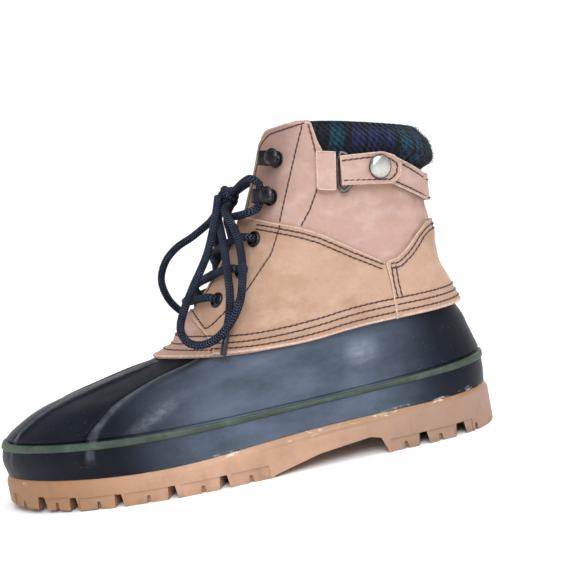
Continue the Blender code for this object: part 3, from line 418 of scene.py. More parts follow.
def curve_shares(stations, at):
    """Which four stations a smooth curve takes at each place, and their shares in it."""
    last = len(stations) - 1
    index = np.clip(np.searchsorted(stations, at) - 1, 0, last - 1)
    before, after = np.maximum(index - 1, 0), np.minimum(index + 2, last)
    span = stations[index + 1] - stations[index]
    s = (at - stations[index]) / span
    start_slope = (s ** 3 - 2 * s ** 2 + s) * span / (stations[index + 1] - stations[before])
    end_slope = (s ** 3 - s ** 2) * span / (stations[after] - stations[index])
    rise = 3 * s ** 2 - 2 * s ** 3
    shares = -start_slope, 1 - rise - end_slope, rise + start_slope, end_slope
    return (before, index, index + 1, after), shares


def curve_at(stations, values, at):
    """Smooth curve through values at stations, for an array of places; stations run along the last axis."""
    index, shares = curve_shares(stations, at)
    return sum(values[..., place] * share for place, share in zip(index, shares))


LEVELS = np.arange(len(SECTIONS), dtype=float)
FRONTS = np.array([row[1] for row in SECTIONS])
BACKS = np.array([row[2] for row in SECTIONS])
HEIGHTS = np.array([row[3] for row in SECTIONS])
WIDTHS = np.array([row[4] for row in SECTIONS])


def form(angle, level):
    """Points of the rubber shell's outer face and of the same surface up the shaft."""
    angle, level = np.broadcast_arrays(np.asarray(angle, float), np.asarray(level, float))
    shape = angle.shape
    angle, level = angle.ravel(), level.ravel()
    turn = np.radians(angle)
    t = (1.0 - np.cos(turn)) / 2.0
    shares = curve_at(HEIGHT_STATIONS, HEIGHTS, t)
    heights = np.where(shares <= 1.0, shares * SHELL_HEIGHT, SHELL_HEIGHT + (shares - 1.0) * SHAFT_RISE)
    widths = curve_at(WIDTH_STATIONS, WIDTHS, t)
    rows, parts = curve_shares(LEVELS, level)
    columns = np.arange(angle.size)
    z = sum(heights[row, columns] * part for row, part in zip(rows, parts))
    full = sum(widths[row, columns] * part for row, part in zip(rows, parts)) * BALL_WIDTH
    front = sum(FRONTS[row] * part for row, part in zip(rows, parts)) - 0.5
    back = sum(BACKS[row] * part for row, part in zip(rows, parts)) - 0.5
    x = (front + (back - front) * t) * LENGTH
    middle = curve_at(WIDTH_STATIONS, MIDDLE_LINE, np.clip(x / LENGTH + 0.5, 0.0, 1.0)) * BALL_WIDTH
    return np.stack((x, middle - full * np.sin(turn), z), axis=-1).reshape(*shape, 3)


def form_normal(angle, level):
    """Outward directions of the form."""
    level = np.asarray(level, float)
    top = len(SECTIONS) - 1.0
    along = form(np.asarray(angle) + 0.4, level) - form(np.asarray(angle) - 0.4, level)
    upward = form(angle, np.minimum(level + 0.02, top)) - form(angle, np.maximum(level - 0.02, 0.0))
    normal = np.cross(along, upward)
    return normal / np.linalg.norm(normal, axis=-1, keepdims=True)


def form_at(angle, level, offset):
    """Points at a distance outside the form."""
    return form(angle, level) + form_normal(angle, level) * np.asarray(offset, float)[..., None]


def find_on_form(places, side, offset):
    """Angles and levels of the points that show at places (x, z in metres) in the side view."""
    goal = np.asarray(places, float).reshape(-1, 2)
    angle = np.full(len(goal), 80.0)
    level = np.clip(goal[:, 1] / 0.0185 + 2.0, 1.0, 12.0)
    for _ in range(40):
        here = form_at(angle, level, offset)[:, [0, 2]]
        by_angle = (form_at(angle + 0.5, level, offset)[:, [0, 2]] - here) / 0.5
        by_level = (form_at(angle, level + 0.02, offset)[:, [0, 2]] - here) / 0.02
        miss = goal - here
        if abs(miss).max() < 1e-6:
            break
        scale = by_angle[:, 0] * by_level[:, 1] - by_angle[:, 1] * by_level[:, 0]
        scale = np.where(abs(scale) < 1e-12, 1e-12, scale)
        angle_step = (miss[:, 0] * by_level[:, 1] - miss[:, 1] * by_level[:, 0]) / scale
        level_step = (by_angle[:, 0] * miss[:, 1] - by_angle[:, 1] * miss[:, 0]) / scale
        angle = np.clip(angle + np.clip(angle_step, -12.0, 12.0), 2.0, 178.0)
        level = np.clip(level + np.clip(level_step, -0.8, 0.8), 0.1, len(SECTIONS) - 1.1)
    return (angle if side < 0 else 360.0 - angle), level


def side_place(share):
    """Metres in the side view of a place given in shares."""
    return (x_at(share[0]), share[1] * SHAFT_HEIGHT)


def ease(value):
    """Smooth step between 0 and 1."""
    value = np.clip(value, 0.0, 1.0)
    return value * value * (3.0 - 2.0 * value)


# Pieces

def finished(name, shape, finishes, node_names, sharp=35.0):
    """Makes the object of a bmesh, gives it its materials and seats it on the body."""
    mesh = bpy.data.meshes.new(name)
    shape.to_mesh(mesh)
    shape.free()
    for finish in finishes:
        mesh.materials.append(finish)
    made = in_scene(name, mesh)
    mesh.shade_smooth()
    mesh.set_sharp_from_angle(angle=math.radians(sharp))
    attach(made, "root")
    if node_names:
        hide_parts(*node_names)
    return made


def new_verts(items):
    """The vertices among what an operator made."""
    return [item for item in items if isinstance(item, bmesh.types.BMVert)]


def form_sheet(angles, levels, outer, inner, rise=None, rim=0):
    """Wall between two offsets of the form: a grid laid on it and extruded inwards. A full turn is joined."""
    angles, levels = np.asarray(angles, float), np.asarray(levels, float)
    shape = bmesh.new()
    uv = shape.loops.layers.uv.verify()
    bmesh.ops.create_grid(
        shape, x_segments=len(angles) - 1, y_segments=len(levels) - 1, size=0.5, calc_uvs=True,
    )
    across = shape.verts.layers.float.new("across")
    up = shape.verts.layers.float.new("up")
    for vert in shape.verts:
        vert[across] = angles[int(round((vert.co.x + 0.5) * (len(angles) - 1)))]
        vert[up] = levels[int(round((vert.co.y + 0.5) * (len(levels) - 1)))]
    outside = list(shape.verts)
    grown = bmesh.ops.extrude_face_region(shape, geom=shape.faces[:] + shape.edges[:] + shape.verts[:])
    inside = new_verts(grown["geom"])
    for verts, offset, lifts in ((outside, outer, rise), (inside, inner, None)):
        a = np.array([vert[across] for vert in verts])
        v = np.array([vert[up] for vert in verts])
        distance = offset(a, v) if callable(offset) else np.full(len(verts), offset)
        if lifts:
            distance = distance + lifts(a, v)
        for vert, spot in zip(verts, form_at(a, v, distance)):
            vert.co = spot
    middle_angle, middle_level = (angles[0] + angles[-1]) / 2, (levels[0] + levels[-1]) / 2
    widths = lengths_along(form(angles, middle_level + 0 * angles))
    rises = lengths_along(form(middle_angle + 0 * levels, levels))
    for face in shape.faces:
        for loop in face.loops:
            vert = loop.vert
            loop[uv].uv = np.interp(vert[across], angles, widths), np.interp(vert[up], levels, rises)
    for face in shape.faces:
        if all(vert[up] == levels[0] for vert in face.verts):
            face.material_index = rim
    if angles[-1] - angles[0] == 360.0:
        seam = [face for face in shape.faces if abs(face.verts[0][across] % 360.0) < 1e-6
                and all(abs(vert[across] - face.verts[0][across]) < 1e-6 for vert in face.verts)]
        bmesh.ops.delete(shape, geom=seam, context="FACES_ONLY")
        bmesh.ops.remove_doubles(shape, verts=shape.verts, dist=1e-6)
    bmesh.ops.recalc_face_normals(shape, faces=shape.faces)
    return shape


def slab(outline, low_y, high_y):
    """Solid with a side-view outline in metres, between two distances to the side."""
    shape = bmesh.new()
    corners = [shape.verts.new((x, low_y, z)) for x, z in outline]
    grown = bmesh.ops.extrude_face_region(shape, geom=[shape.faces.new(corners)])
    bmesh.ops.translate(shape, verts=new_verts(grown["geom"]), vec=(0.0, high_y - low_y, 0.0))
    bmesh.ops.recalc_face_normals(shape, faces=shape.faces)
    return shape


def prism(outline, low_y=-BALL_WIDTH, high_y=BALL_WIDTH, corner=1):
    """Cutter with a side-view outline in shares, across the boot; its faces take the second material."""
    shape = slab([side_place(spot) for spot in outline], low_y, high_y)
    for face in shape.faces:
        face.material_index = corner
    return shape


def boolean(shape, cutter, operation="DIFFERENCE", crosses_itself=False):
    """Cuts one bmesh with another and returns the result."""
    parts = []
    for part in (shape, cutter):
        mesh = bpy.data.meshes.new("cutting")
        part.to_mesh(mesh)
        part.free()
        mesh.materials.append(None)
        mesh.materials.append(None)
        parts.append(in_scene("cutting", mesh))
    step = parts[0].modifiers.new("cut", "BOOLEAN")
    step.operation = operation
    step.object = parts[1]
    step.use_self = crosses_itself
    result = bpy.data.meshes.new_from_object(
        parts[0].evaluated_get(bpy.context.evaluated_depsgraph_get())
    )
    after = bmesh.new()
    after.from_mesh(result)
    for part in parts:
        bpy.data.objects.remove(part)
    return after


def cut_sheet(sheet, outline, low_y=-BALL_WIDTH, high_y=BALL_WIDTH):
    """The part of a sheet inside a side-view outline in shares."""
    return boolean(sheet, prism(outline, low_y, high_y), "INTERSECT")


def frame_on_form(spot, side, offset):
    """Matrix at a point of the side view: local Z outwards, local X towards the throat."""
    angle, level = find_on_form([spot], side, offset)
    centre = Vector(form_at(angle, level, offset)[0])
    outward = Vector(form_normal(angle, level)[0])
    towards = Vector(form_at(angle + side * 1.0, level, offset)[0]) - centre
    forward = (towards - outward * towards.dot(outward)).normalized()
    return Matrix.Translation(centre) @ axes(forward, outward.cross(forward), outward)


def lengths_along(points):
    """Distance of each point from the first, along the points."""
    return np.append(0.0, np.cumsum(np.linalg.norm(np.diff(points, axis=0), axis=1)))


def smooth_route(points, count):
    """Evenly numbered points on a smooth curve through a route's points."""
    places = np.array(points, dtype=float)
    lengths = lengths_along(places)
    at = np.linspace(0.0, lengths[-1], count)
    return curve_at(lengths, places.T, at).T


def tube(points, radius, sides, closed=False, aside=(0.0, -1.0, 0.0)):
    """Round tube along points, its UV in turns and metres."""
    points = [Vector(point) for point in points]
    count = len(points)
    shape = bmesh.new()
    uv = shape.loops.layers.uv.verify()
    rows = count if closed else count - 1
    bmesh.ops.create_grid(shape, x_segments=sides, y_segments=rows, size=0.5, calc_uvs=True)
    run_length = sum((b - a).length for a, b in zip(points, points[1:]))
    sideways = Vector((0.0, 0.0, 1.0))
    frames = []
    for k in range(count):
        ahead = points[(k + 1) % count] if closed else points[min(k + 1, count - 1)]
        behind = points[k - 1] if closed else points[max(k - 1, 0)]
        run = (ahead - behind).normalized()
        base = Vector(aside) if closed else sideways
        sideways = (base - run * base.dot(run)).normalized()
        frames.append((points[k], sideways, run.cross(sideways)))
    for vert in shape.verts:
        turn = (vert.co.x + 0.5) * math.tau
        centre, first, second = frames[int(round((vert.co.y + 0.5) * rows)) % count]
        vert.co = centre + (first * math.cos(turn) + second * math.sin(turn)) * radius
    for face in shape.faces:
        for loop in face.loops:
            loop[uv].uv.y *= run_length
    bmesh.ops.remove_doubles(shape, verts=shape.verts, dist=1e-7)
    if not closed:
        bmesh.ops.holes_fill(shape, edges=[edge for edge in shape.edges if edge.is_boundary])
    bmesh.ops.recalc_face_normals(shape, faces=shape.faces)
    return shape


def domed(radius, low, rise):
    """Profile of a dome, from its rim to its top on the axis."""
    turns = np.linspace(0.0, math.pi / 2, 8)
    curve = [(radius * math.cos(turn), low + rise * math.sin(turn)) for turn in turns[:-1]]
    return curve + [(0.0, low + rise)]


def lathe(profile, segments, matrix):
    """Turned shape from a profile of radius and height about local Z."""
    shape = bmesh.new()
    verts = [shape.verts.new((radius, 0.0, height)) for radius, height in profile]
    edges = [shape.edges.new(pair) for pair in zip(verts, verts[1:])]
    bmesh.ops.spin(
        shape, geom=verts + edges, axis=(0, 0, 1), cent=(0, 0, 0), angle=math.tau, steps=segments,
        use_merge=True,
    )
    bmesh.ops.remove_doubles(shape, verts=shape.verts, dist=1e-6)
    bmesh.ops.recalc_face_normals(shape, faces=shape.faces)
    bmesh.ops.transform(shape, matrix=matrix, verts=shape.verts)
    return shape


# Finishes

def darker(tone, share):
    """A colour taken down to a share of its light."""
    return tuple(part * share for part in tone)


def leather_finish(name, tone, shade, light, low_tone):
    """Smooth full-grain leather: mottled, with painted shade at the front, darker in patches just above its
    lower edge, tanner low down, with fine grain.
    """
    look = Finish(name, 0.5, Specular_IOR_Level=0.3)
    patches = look.noise(24.0, 5.0, 0.62)
    clouds = look.noise(70.0, 4.0, 0.6, (1.0, 1.0, 1.6))
    height, run = look.axis("Z"), look.axis("X")
    low = look.fall(height + run * 0.5, 0.085, 0.125)
    base = look.mix(low * 0.8, tone, low_tone)
    colour = look.mix(look.band(patches, 0.36, 0.66) * 0.75, base, shade)
    colour = look.mix(look.band(clouds, 0.42, 0.75) * 0.60, colour, light)
    # Painted shade: the front of the upper shaft, which faces away from the light, is painted darker.
    painted_front_shade = look.band(run - height * 0.5 + (patches - 0.5) * 0.06, -0.055, -0.018, 0.90, 0.0)
    colour = look.mix(painted_front_shade * look.band(height, 0.10, 0.15), colour, darker(shade, 0.70))
    specks = look.band(look.noise(420.0, 2.0, 0.6), 0.58, 0.74)
    colour = look.mix(specks * 0.16, colour, darker(shade, 0.55))
    # Darker in patches just above the leather's lower edge, along the rubber.
    darker_above_edge = look.fall(height, 0.073, 0.084) * look.band(clouds, 0.40, 0.62)
    colour = look.mix(darker_above_edge * 0.35, colour, darker(shade, 0.55))
    pores = look.cells(1300.0)
    grain = look.band(pores, 0.0, 0.10) * 0.7 + look.noise(700.0, 3.0, 0.6) * 0.5
    relief = look.bump(grain, 0.00014)
    relief = look.bump(look.noise(85.0, 5.0, 0.6), 0.0012, relief)
    gloss = 0.46 + look.noise(50.0) * 0.26
    return look.wear(Base_Color=colour, Roughness=gloss, Normal=relief)


def edge_finish(name, tone):
    """The leather's raw cut edge."""
    look = Finish(name, 0.85, Specular_IOR_Level=0.15)
    fibre = look.noise(900.0, 3.0, 0.7)
    colour = look.mix(look.band(fibre, 0.35, 0.7), tone, darker(tone, 0.62))
    return look.wear(Base_Color=colour, Normal=look.bump(fibre, 0.0004))


def shell_finish():
    """Dark moulded rubber with a painted blue-grey sheen on its sides, a painted highlight patch, painted
    highlights and shadows at the toe ridges, chalky wear and cement left along the sole.
    """
    look = Finish("shell_rubber", 0.34, Specular_IOR_Level=0.12)
    broad = look.noise(16.0, 4.0, 0.6)
    fine = look.noise(160.0, 4.0, 0.65)
    height, run = look.axis("Z"), look.axis("X")
    colour = look.mix(look.band(broad, 0.35, 0.7), (0.0038, 0.0050, 0.0088), (0.0072, 0.0098, 0.0165))
    from_front = look.from_front()
    # Painted sheen: a broad blue-grey reflection of the window light on the middle of both sides, kept off
    # the toe between the ridges.
    middle = look.band(run, -0.070, -0.004) * look.fall(run, 0.075, 0.120)
    middle = middle * look.band(from_front, 46.0, 56.0)
    painted_sheen = middle * look.band(look.noise(26.0, 6.0, 0.65, (1.0, 1.0, 1.8)), 0.25, 0.72, 0.45, 1.0)
    colour = look.mix(painted_sheen * 0.90, colour, (0.100, 0.128, 0.172))
    worn = look.near(run - 0.074, 0.013)
    worn = worn * look.near(height - 0.059, 0.011)
    worn = worn * look.band(look.noise(140.0, 5.0, 0.75, (0.5, 1.0, 1.6)), 0.30, 0.62, 0.35, 1.0)
    colour = look.mix(worn * 0.70, colour, (0.27, 0.30, 0.34))
    # Painted highlight: a bright patch low on the side towards the toe, broken up with streaky noise.
    painted_highlight_patch = look.near(height * 1.6 - run - 0.118, 0.012)
    painted_highlight_patch = painted_highlight_patch * look.near(height - 0.047, 0.012)
    painted_highlight_patch = painted_highlight_patch * look.band(look.noise(170.0, 5.0, 0.75, (1.0, 1.0, 2.0)), 0.35, 0.62, 0.25, 1.0)
    colour = look.mix(painted_highlight_patch * 0.38, colour, (0.24, 0.25, 0.29))
    # Painted highlight: a pale band along each toe ridge where it catches the light; painted shadow: a dark
    # line along the groove on the ridge's upper side.
    drift = look.band(look.layer("up"), TOPLINE - DRIFT_LEVELS, TOPLINE, 1.0 + RIDGE_DRIFT, 1.0)
    for ridge in RIDGES:
        line = look.fall((from_front - drift * ridge).absolute(), 0.4, 1.9)
        toe = look.band(height, 0.024, 0.032) * look.fall(run, -0.020, -0.006)
        colour = look.mix(line * toe * look.band(fine, 0.35, 0.60, 0.35, 0.8), colour, (0.080, 0.090, 0.105))
        gap = look.fall((from_front - drift * ridge + RIDGE_LINE).absolute(), 0.25, 0.75)
        colour = look.mix(gap * toe * 0.9, colour, (0.0020, 0.0026, 0.0040))
    scuffs = look.band(look.noise(60.0, 6.0, 0.75, (1.0, 1.0, 3.0)), 0.60, 0.78)
    colour = look.mix(scuffs * 0.30, colour, (0.07, 0.078, 0.09))
    dust = look.band(look.noise(900.0, 2.0, 0.5), 0.70, 0.76)
    colour = look.mix(dust * 0.35, colour, (0.16, 0.17, 0.18))
    edge = 0.0185 + look.band(run, -0.04, 0.148) * 0.0065
    near = look.fall(height - edge, -0.0005, 0.0016)
    cement = near * look.band(look.noise(75.0, 5.0, 0.7, (1.0, 1.0, 2.5)), 0.57, 0.66)
    colour = look.mix(cement * 0.70, colour, (0.48, 0.44, 0.37))
    gloss = 0.30 + look.noise(35.0, 4.0) * 0.20 + scuffs * 0.2 + cement * 0.3 + painted_sheen * 0.10
    relief = look.bump(fine, 0.00010)
    relief = look.bump(look.noise(28.0, 3.0, 0.5), 0.0012, relief)
    return look.wear(Base_Color=colour, Roughness=gloss, Normal=relief)


def stripe_finish():
    """Green rubber band."""
    look = Finish("stripe_rubber", 0.5)
    dust = look.noise(120.0, 4.0, 0.7)
    colour = look.mix(look.band(dust, 0.4, 0.75), (0.019, 0.036, 0.019), (0.052, 0.078, 0.054))
    return look.wear(Base_Color=colour, Roughness=0.42 + dust * 0.2, Normal=look.bump(dust, 0.0001))


def gum_finish():
    """Gum rubber: tan at the front, pinker to the heel, browner and glossier on the bevel, dirty below."""
    look = Finish("gum_sole", 0.5, Specular_IOR_Level=0.35)
    run, height = look.axis("X"), look.axis("Z")
    colour = look.mix(look.band(run, -0.13, -0.02), (0.275, 0.136, 0.056), (0.455, 0.270, 0.176))
    colour = look.mix(look.band(run, 0.03, 0.11), colour, (0.300, 0.192, 0.142))
    broad = look.noise(40.0, 5.0, 0.65)
    colour = look.mix(look.band(broad, 0.35, 0.7) * 0.55, colour, (0.285, 0.155, 0.088))
    bevel = 0.0150 + look.band(run, -0.04, 0.148) * 0.0060
    brown = look.band(height - bevel, -0.0008, 0.0012) * look.band(run, -0.02, 0.07)
    colour = look.mix(brown * 0.80, colour, (0.27, 0.140, 0.060))
    worn = look.fall(height, 0.0, 0.006) * look.band(look.noise(90.0, 4.0, 0.6), 0.4, 0.6)
    colour = look.mix(worn * 0.45, colour, (0.16, 0.100, 0.060))
    streaks = look.band(look.noise(150.0, 4.0, 0.7, (1.0, 1.0, 0.35)), 0.55, 0.75)
    colour = look.mix(streaks * 0.28, colour, (0.18, 0.105, 0.065))
    flecks = look.noise(85.0, 5.0, 0.7, (1.0, 1.0, 2.5))
    chalk = look.band(height - bevel, 0.0006, 0.0022) * look.band(flecks, 0.57, 0.66)
    colour = look.mix(chalk * 0.8, colour, (0.62, 0.55, 0.45))
    rough = 0.42 + look.noise(60.0) * 0.25 + worn * 0.1 - brown * 0.15
    relief = look.bump(look.noise(600.0, 3.0, 0.6), 0.00012)
    relief = look.bump(look.noise(120.0, 3.0, 0.5), 0.0005, relief)
    return look.wear(Base_Color=colour, Roughness=rough, Normal=relief)


BRAID_COLUMNS = 5.0
BRAID_ROWS = 640.0


def braid_finish():
    """Round braided cord: near-black strands with small blue chevrons."""
    look = Finish("lace_braid", 0.7, Specular_IOR_Level=0.15)
    turn, run = look.surface("X"), look.surface("Y")
    slope = ((turn * BRAID_COLUMNS).fraction() - 0.5).absolute() * 1.7
    strand = ((run * BRAID_ROWS + slope) * math.tau).sine()
    column = look.fall(((turn * (2 * BRAID_COLUMNS)).fraction() - 0.5).absolute(), 0.30, 0.50)
    uneven = look.noise(180.0, 3.0, 0.6)
    blue = look.band(strand, -0.1, 0.7) * column
    colour = look.mix(look.band(strand, -0.9, 0.2), (0.0010, 0.0013, 0.0022), (0.0034, 0.0045, 0.0080))
    colour = look.mix(blue * look.band(uneven, 0.30, 0.62, 0.35, 1.0), colour, (0.066, 0.092, 0.155))
    relief = look.bump(look.band(strand, -0.8, 0.8) * column, 0.0007)
    return look.wear(Base_Color=colour, Normal=relief)


def metal_finish(name, tone, worn, rough):
    """Plated metal, worn by rubbing and finely scratched."""
    look = Finish(name, rough, Metallic=1.0)
    marks = look.noise(300.0, 5.0, 0.7)
    colour = look.mix(look.band(marks, 0.50, 0.72), tone, worn)
    scratches = look.noise(900.0, 2.0, 0.5, (1.0, 1.0, 0.15))
    gloss = rough + look.band(marks, 0.4, 0.8) * 0.18
    return look.wear(Base_Color=colour, Roughness=gloss, Normal=look.bump(scratches, 0.00004))


def thread_finish():
    """Dark burgundy waxed thread."""
    look = Finish("thread", 0.6)
    tone = look.noise(500.0, 2.0)
    colour = look.mix(look.band(tone, 0.35, 0.65), (0.028, 0.009, 0.012), (0.075, 0.024, 0.030))
    return look.wear(Base_Color=colour)


def felt_finish():
    """Dark felt of the footbed."""
    look = Finish("felt", 0.95)
    fibre = look.noise(500.0, 4.0, 0.7)
    colour = look.mix(look.band(fibre, 0.3, 0.7), (0.035, 0.035, 0.04), (0.10, 0.10, 0.11))
    return look.wear(Base_Color=colour, Normal=look.bump(fibre, 0.0006))


def tip_finish():
    """Black plastic lace tip."""
    look = Finish("lace_tip", 0.25)
    marks = look.noise(400.0, 3.0)
    colour = look.mix(look.band(marks, 0.4, 0.7), (0.006, 0.006, 0.008), (0.018, 0.018, 0.022))
    return look.wear(Base_Color=colour, Roughness=0.2 + marks * 0.15)


NAVY_BLACK = (0.0030, 0.0045, 0.0100)
TEAL = (0.0060, 0.0620, 0.1060)
INDIGO = (0.0160, 0.0190, 0.0950)
# Bands of the plaid: angle from the front at which each colour starts
PLAID_BANDS = (
    (0.0, NAVY_BLACK), (62.0, TEAL), (69.0, NAVY_BLACK), (80.0, TEAL), (90.0, NAVY_BLACK), (95.0, INDIGO),
    (103.0, NAVY_BLACK), (106.0, INDIGO), (115.0, NAVY_BLACK), (117.0, INDIGO), (124.0, NAVY_BLACK),
    (130.0, TEAL), (138.0, NAVY_BLACK), (141.5, TEAL), (150.0, NAVY_BLACK), (166.0, INDIGO),
)
# Repeats of the knit, in metres
KNIT_ROW = 0.0125
KNIT_SLANT = 0.0029
KNIT_RIB = 0.0036


def knit_finish():
    """Woolly plaid: upright bands of teal and indigo on near black, broken into coarse slanting stitches."""
    look = Finish("plaid_wool", 0.95, Specular_IOR_Level=0.1, Sheen_Weight=0.08, Sheen_Roughness=0.6)
    across, up = look.surface("X"), look.surface("Y")
    wobble = look.noise(260.0, 3.0, 0.7) - 0.5
    angle = look.from_front() + wobble * 3.2
    stops = [(at / 180.0, tone) for at, tone in PLAID_BANDS]
    colour = look.ramp(angle / 180.0, stops)
    rows = look.band((up * (math.tau / KNIT_ROW) + 0.9).sine(), 0.35, 0.9)
    colour = look.mix(rows * 0.6, colour, NAVY_BLACK)
    slant = ((across * 0.75 + up + wobble * 0.0026) * (math.tau / KNIT_SLANT)).sine()
    rib = ((across - up * 0.2 + wobble * 0.0020) * (math.tau / KNIT_RIB)).sine()
    stitch = slant * 0.55 + rib * 0.45
    colour = look.mix(look.band(stitch, -0.35, 0.45) * 0.8, colour, (0.0022, 0.0032, 0.0070))
    fuzz = look.noise(1500.0, 3.0, 0.7)
    colour = look.mix(look.band(fuzz, 0.52, 0.78) * 0.30, colour, (0.040, 0.085, 0.115))
    relief = look.bump(stitch * -0.6 + fuzz * 0.8, 0.0016)
    return look.wear(Base_Color=colour, Normal=relief)


def fibre_finish():
    """Loose wool fibres, dark with some teal and indigo ones."""
    look = Finish("wool_fibre", 0.95, Specular_IOR_Level=0.1)
    spread = look.noise(170.0, 2.0, 0.6)
    colour = look.mix(look.band(spread, 0.50, 0.60), (0.0050, 0.0080, 0.0160), (0.0120, 0.0650, 0.0780))
    colour = look.mix(look.fall(spread, 0.34, 0.42), colour, (0.0180, 0.0220, 0.0900))
    return look.wear(Base_Color=colour)


shell_rubber = shell_finish()
stripe_rubber = stripe_finish()
gum = gum_finish()
tan_leather = leather_finish(
    "tan_leather", (0.48, 0.300, 0.208), (0.37, 0.212, 0.130), (0.55, 0.378, 0.285), (0.48, 0.288, 0.180),
)
pink_leather = leather_finish(
    "pink_leather", (0.50, 0.320, 0.260), (0.415, 0.245, 0.187), (0.575, 0.410, 0.355), (0.43, 0.250, 0.156),
)
tongue_leather = leather_finish(
    "tongue_leather", (0.20, 0.105, 0.055), (0.14, 0.07, 0.035), (0.26, 0.14, 0.08), (0.18, 0.09, 0.05),
)
raw_edge = edge_finish("raw_edge", (0.65, 0.45, 0.345))
braid = braid_finish()
black_metal = metal_finish("black_metal", (0.030, 0.030, 0.033), (0.11, 0.11, 0.11), 0.28)
pewter = metal_finish("pewter", (0.55, 0.54, 0.50), (0.34, 0.33, 0.31), 0.24)
ring_metal = metal_finish("ring_metal", (0.085, 0.085, 0.090), (0.24, 0.24, 0.24), 0.25)
thread = thread_finish()
felt = felt_finish()
tip = tip_finish()
knit = knit_finish()
wool_fibre = fibre_finish()


# Free laces and their tips

def lace_piece(name, shape, node_name):
    """Makes a piece of braided lace."""
    return finished(name, shape, [braid], [node_name], sharp=50.0)


def free_lace(name, node_name, route):
    """A free stretch of lace that stands for its solid."""
    points = smooth_route(route, 60)
    made = lace_piece(name, tube(points, HALF_LACE, LACE_SIDES), node_name)
    return made


def make_aglet(name, node_name, route):
    """Lace tip with a rolled rim."""
    last, before = Vector(route[-1]), Vector(route[-2])
    run = (last - before).normalized()
    turn = run.to_track_quat("Z", "Y").to_matrix().to_4x4()
    radius = AGLET_DIAMETER / 2
    profile = (
        (0.0, 0.0), (radius * 0.9, 0.0), (radius, 0.0006), (radius, AGLET_LENGTH - 0.001),
        (radius * 0.8, AGLET_LENGTH), (0.0, AGLET_LENGTH),
    )
    shape = lathe(profile, 20, Matrix.Translation(last + run * CLEARANCE) @ turn)
    return finished(name, shape, [tip], [node_name])


SIDES = ((-1, "outer"), (1, "inner"))
for side_name, loop, end in (("outer", OUTER_LOOP, OUTER_END), ("inner", INNER_LOOP, INNER_END)):
    free_lace(f"bow_loop_{side_name}", f"lace_loop_{side_name}", loop)
    aglet = make_aglet(f"bow_tip_{side_name}", f"aglet_{side_name}", end)
    free_lace(f"bow_end_{side_name}", f"lace_end_{side_name}", end)


# Rubber shell and its stripe

def ridge_rise(angle, level):
    """The four soft toe ridges with a fine line along their upper side, and the groove over the stripe."""
    from_front = np.minimum(angle % 360.0, 360.0 - angle % 360.0)
    across = np.zeros_like(from_front)
    line = np.zeros_like(from_front)
    for ridge in RIDGES:
        off = from_front - ridge * (1.0 + RIDGE_DRIFT * ease((TOPLINE - level) / DRIFT_LEVELS))
        across = np.maximum(across, ease(1.15 - abs(off) / RIDGE_HALF))
        line = np.maximum(line, np.exp(-((off + RIDGE_LINE) / 0.55) ** 2))
    fade = np.minimum(ease((level - STRIPE_TOP) / 0.9), ease((TOPLINE - level) / 0.6))
    groove = np.exp(-((level - STRIPE_TOP) / 0.055) ** 2) * GROOVE_DEPTH
    return (RIDGE_HEIGHT * across - LINE_DEPTH * line) * fade - groove


def around(fine=()):
    """Angles of a full turn, closer at the ridges."""
    values = set(np.round(np.arange(0.0, 361.0, 2.0), 3))
    for ridge in fine:
        for step in np.arange(-3.0, 3.01 + ridge * RIDGE_DRIFT, 0.5):
            values.add(round(ridge + step, 3))
            values.add(round(360.0 - ridge + step, 3))
    ordered = sorted(values)
    return [0.0] + [value for value in ordered if 0.0 < value < 360.0] + [360.0]


shell_levels = np.concatenate((np.arange(0.0, TOPLINE + 1.01, 0.125), np.arange(1.95, 2.5, 0.05)))
shell_levels = sorted(set(np.round(shell_levels, 3)))
shape = form_sheet(around(RIDGES), shell_levels, 0.0, -RUBBER_WALL, ridge_rise)
finished("rubber_shell_skin", shape, [shell_rubber], ["rubber_shell"], sharp=60.0)


STRIPE_MIDDLE = 1.79
STRIPE_HALF = 0.21


def stripe_rise(_, level):
    """Rounded face of the stripe."""
    across = (level - STRIPE_MIDDLE) / STRIPE_HALF
    return STRIPE_WALL * (np.clip(1.0 - across ** 4, 0.0, 1.0) ** 0.5 - 0.6)


stripe_levels = np.linspace(STRIPE_MIDDLE - STRIPE_HALF, STRIPE_MIDDLE + STRIPE_HALF, 9)
shape = form_sheet(around(), stripe_levels, CLEARANCE + STRIPE_WALL * 0.6, CLEARANCE * 0.2, stripe_rise)
finished("stripe_band", shape, [stripe_rubber], ["rand_stripe"], sharp=60.0)


# Sole

def sole_bottom(x):
    """Height of the tread's lowest points: flat under the ball and heel, sprung at the toe."""
    start, toe = x_at(SPRING_START), x_at(0.0)
    reach = np.maximum(0.0, (start - x) / (start - toe))
    return TOE_SPRING * reach ** SPRING_CURVE


def sole_rim(angles, grow):
    """Points of the sole's outline, grown from the form's lower edge."""
    edge = form(angles, 0.0 * angles)
    flat = form_normal(angles, 0.0 * angles) * (1.0, 1.0, 0.0)
    return edge + flat / np.linalg.norm(flat, axis=1, keepdims=True) * grow


def sole_side_spot(share, side):
    """Point on the sole's side wall at a share of the length, and the wall's direction."""
    angles = np.arange(2.0, 178.5, 0.5)
    spots = sole_rim(angles if side < 0 else 360.0 - angles, SOLE_LEDGE)
    index = int(np.clip(np.argmin(abs(spots[:, 0] - x_at(share))), 1, len(spots) - 2))
    run = spots[index + 1] - spots[index - 1]
    return spots[index], math.atan2(run[1], run[0])


def add_box(shape, centre, size, turn=0.0, flare=1.0):
    """Adds a box to a bmesh, turned about the vertical and widened below."""
    made = bmesh.ops.create_cube(shape, size=1.0)["verts"]
    for vert in made:
        if vert.co.z < 0.0:
            vert.co.x *= flare
    place = Matrix.Translation(centre) @ Matrix.Rotation(turn, 4, "Z") @ Matrix.Diagonal((*size, 1.0))
    bmesh.ops.transform(shape, matrix=place, verts=made)


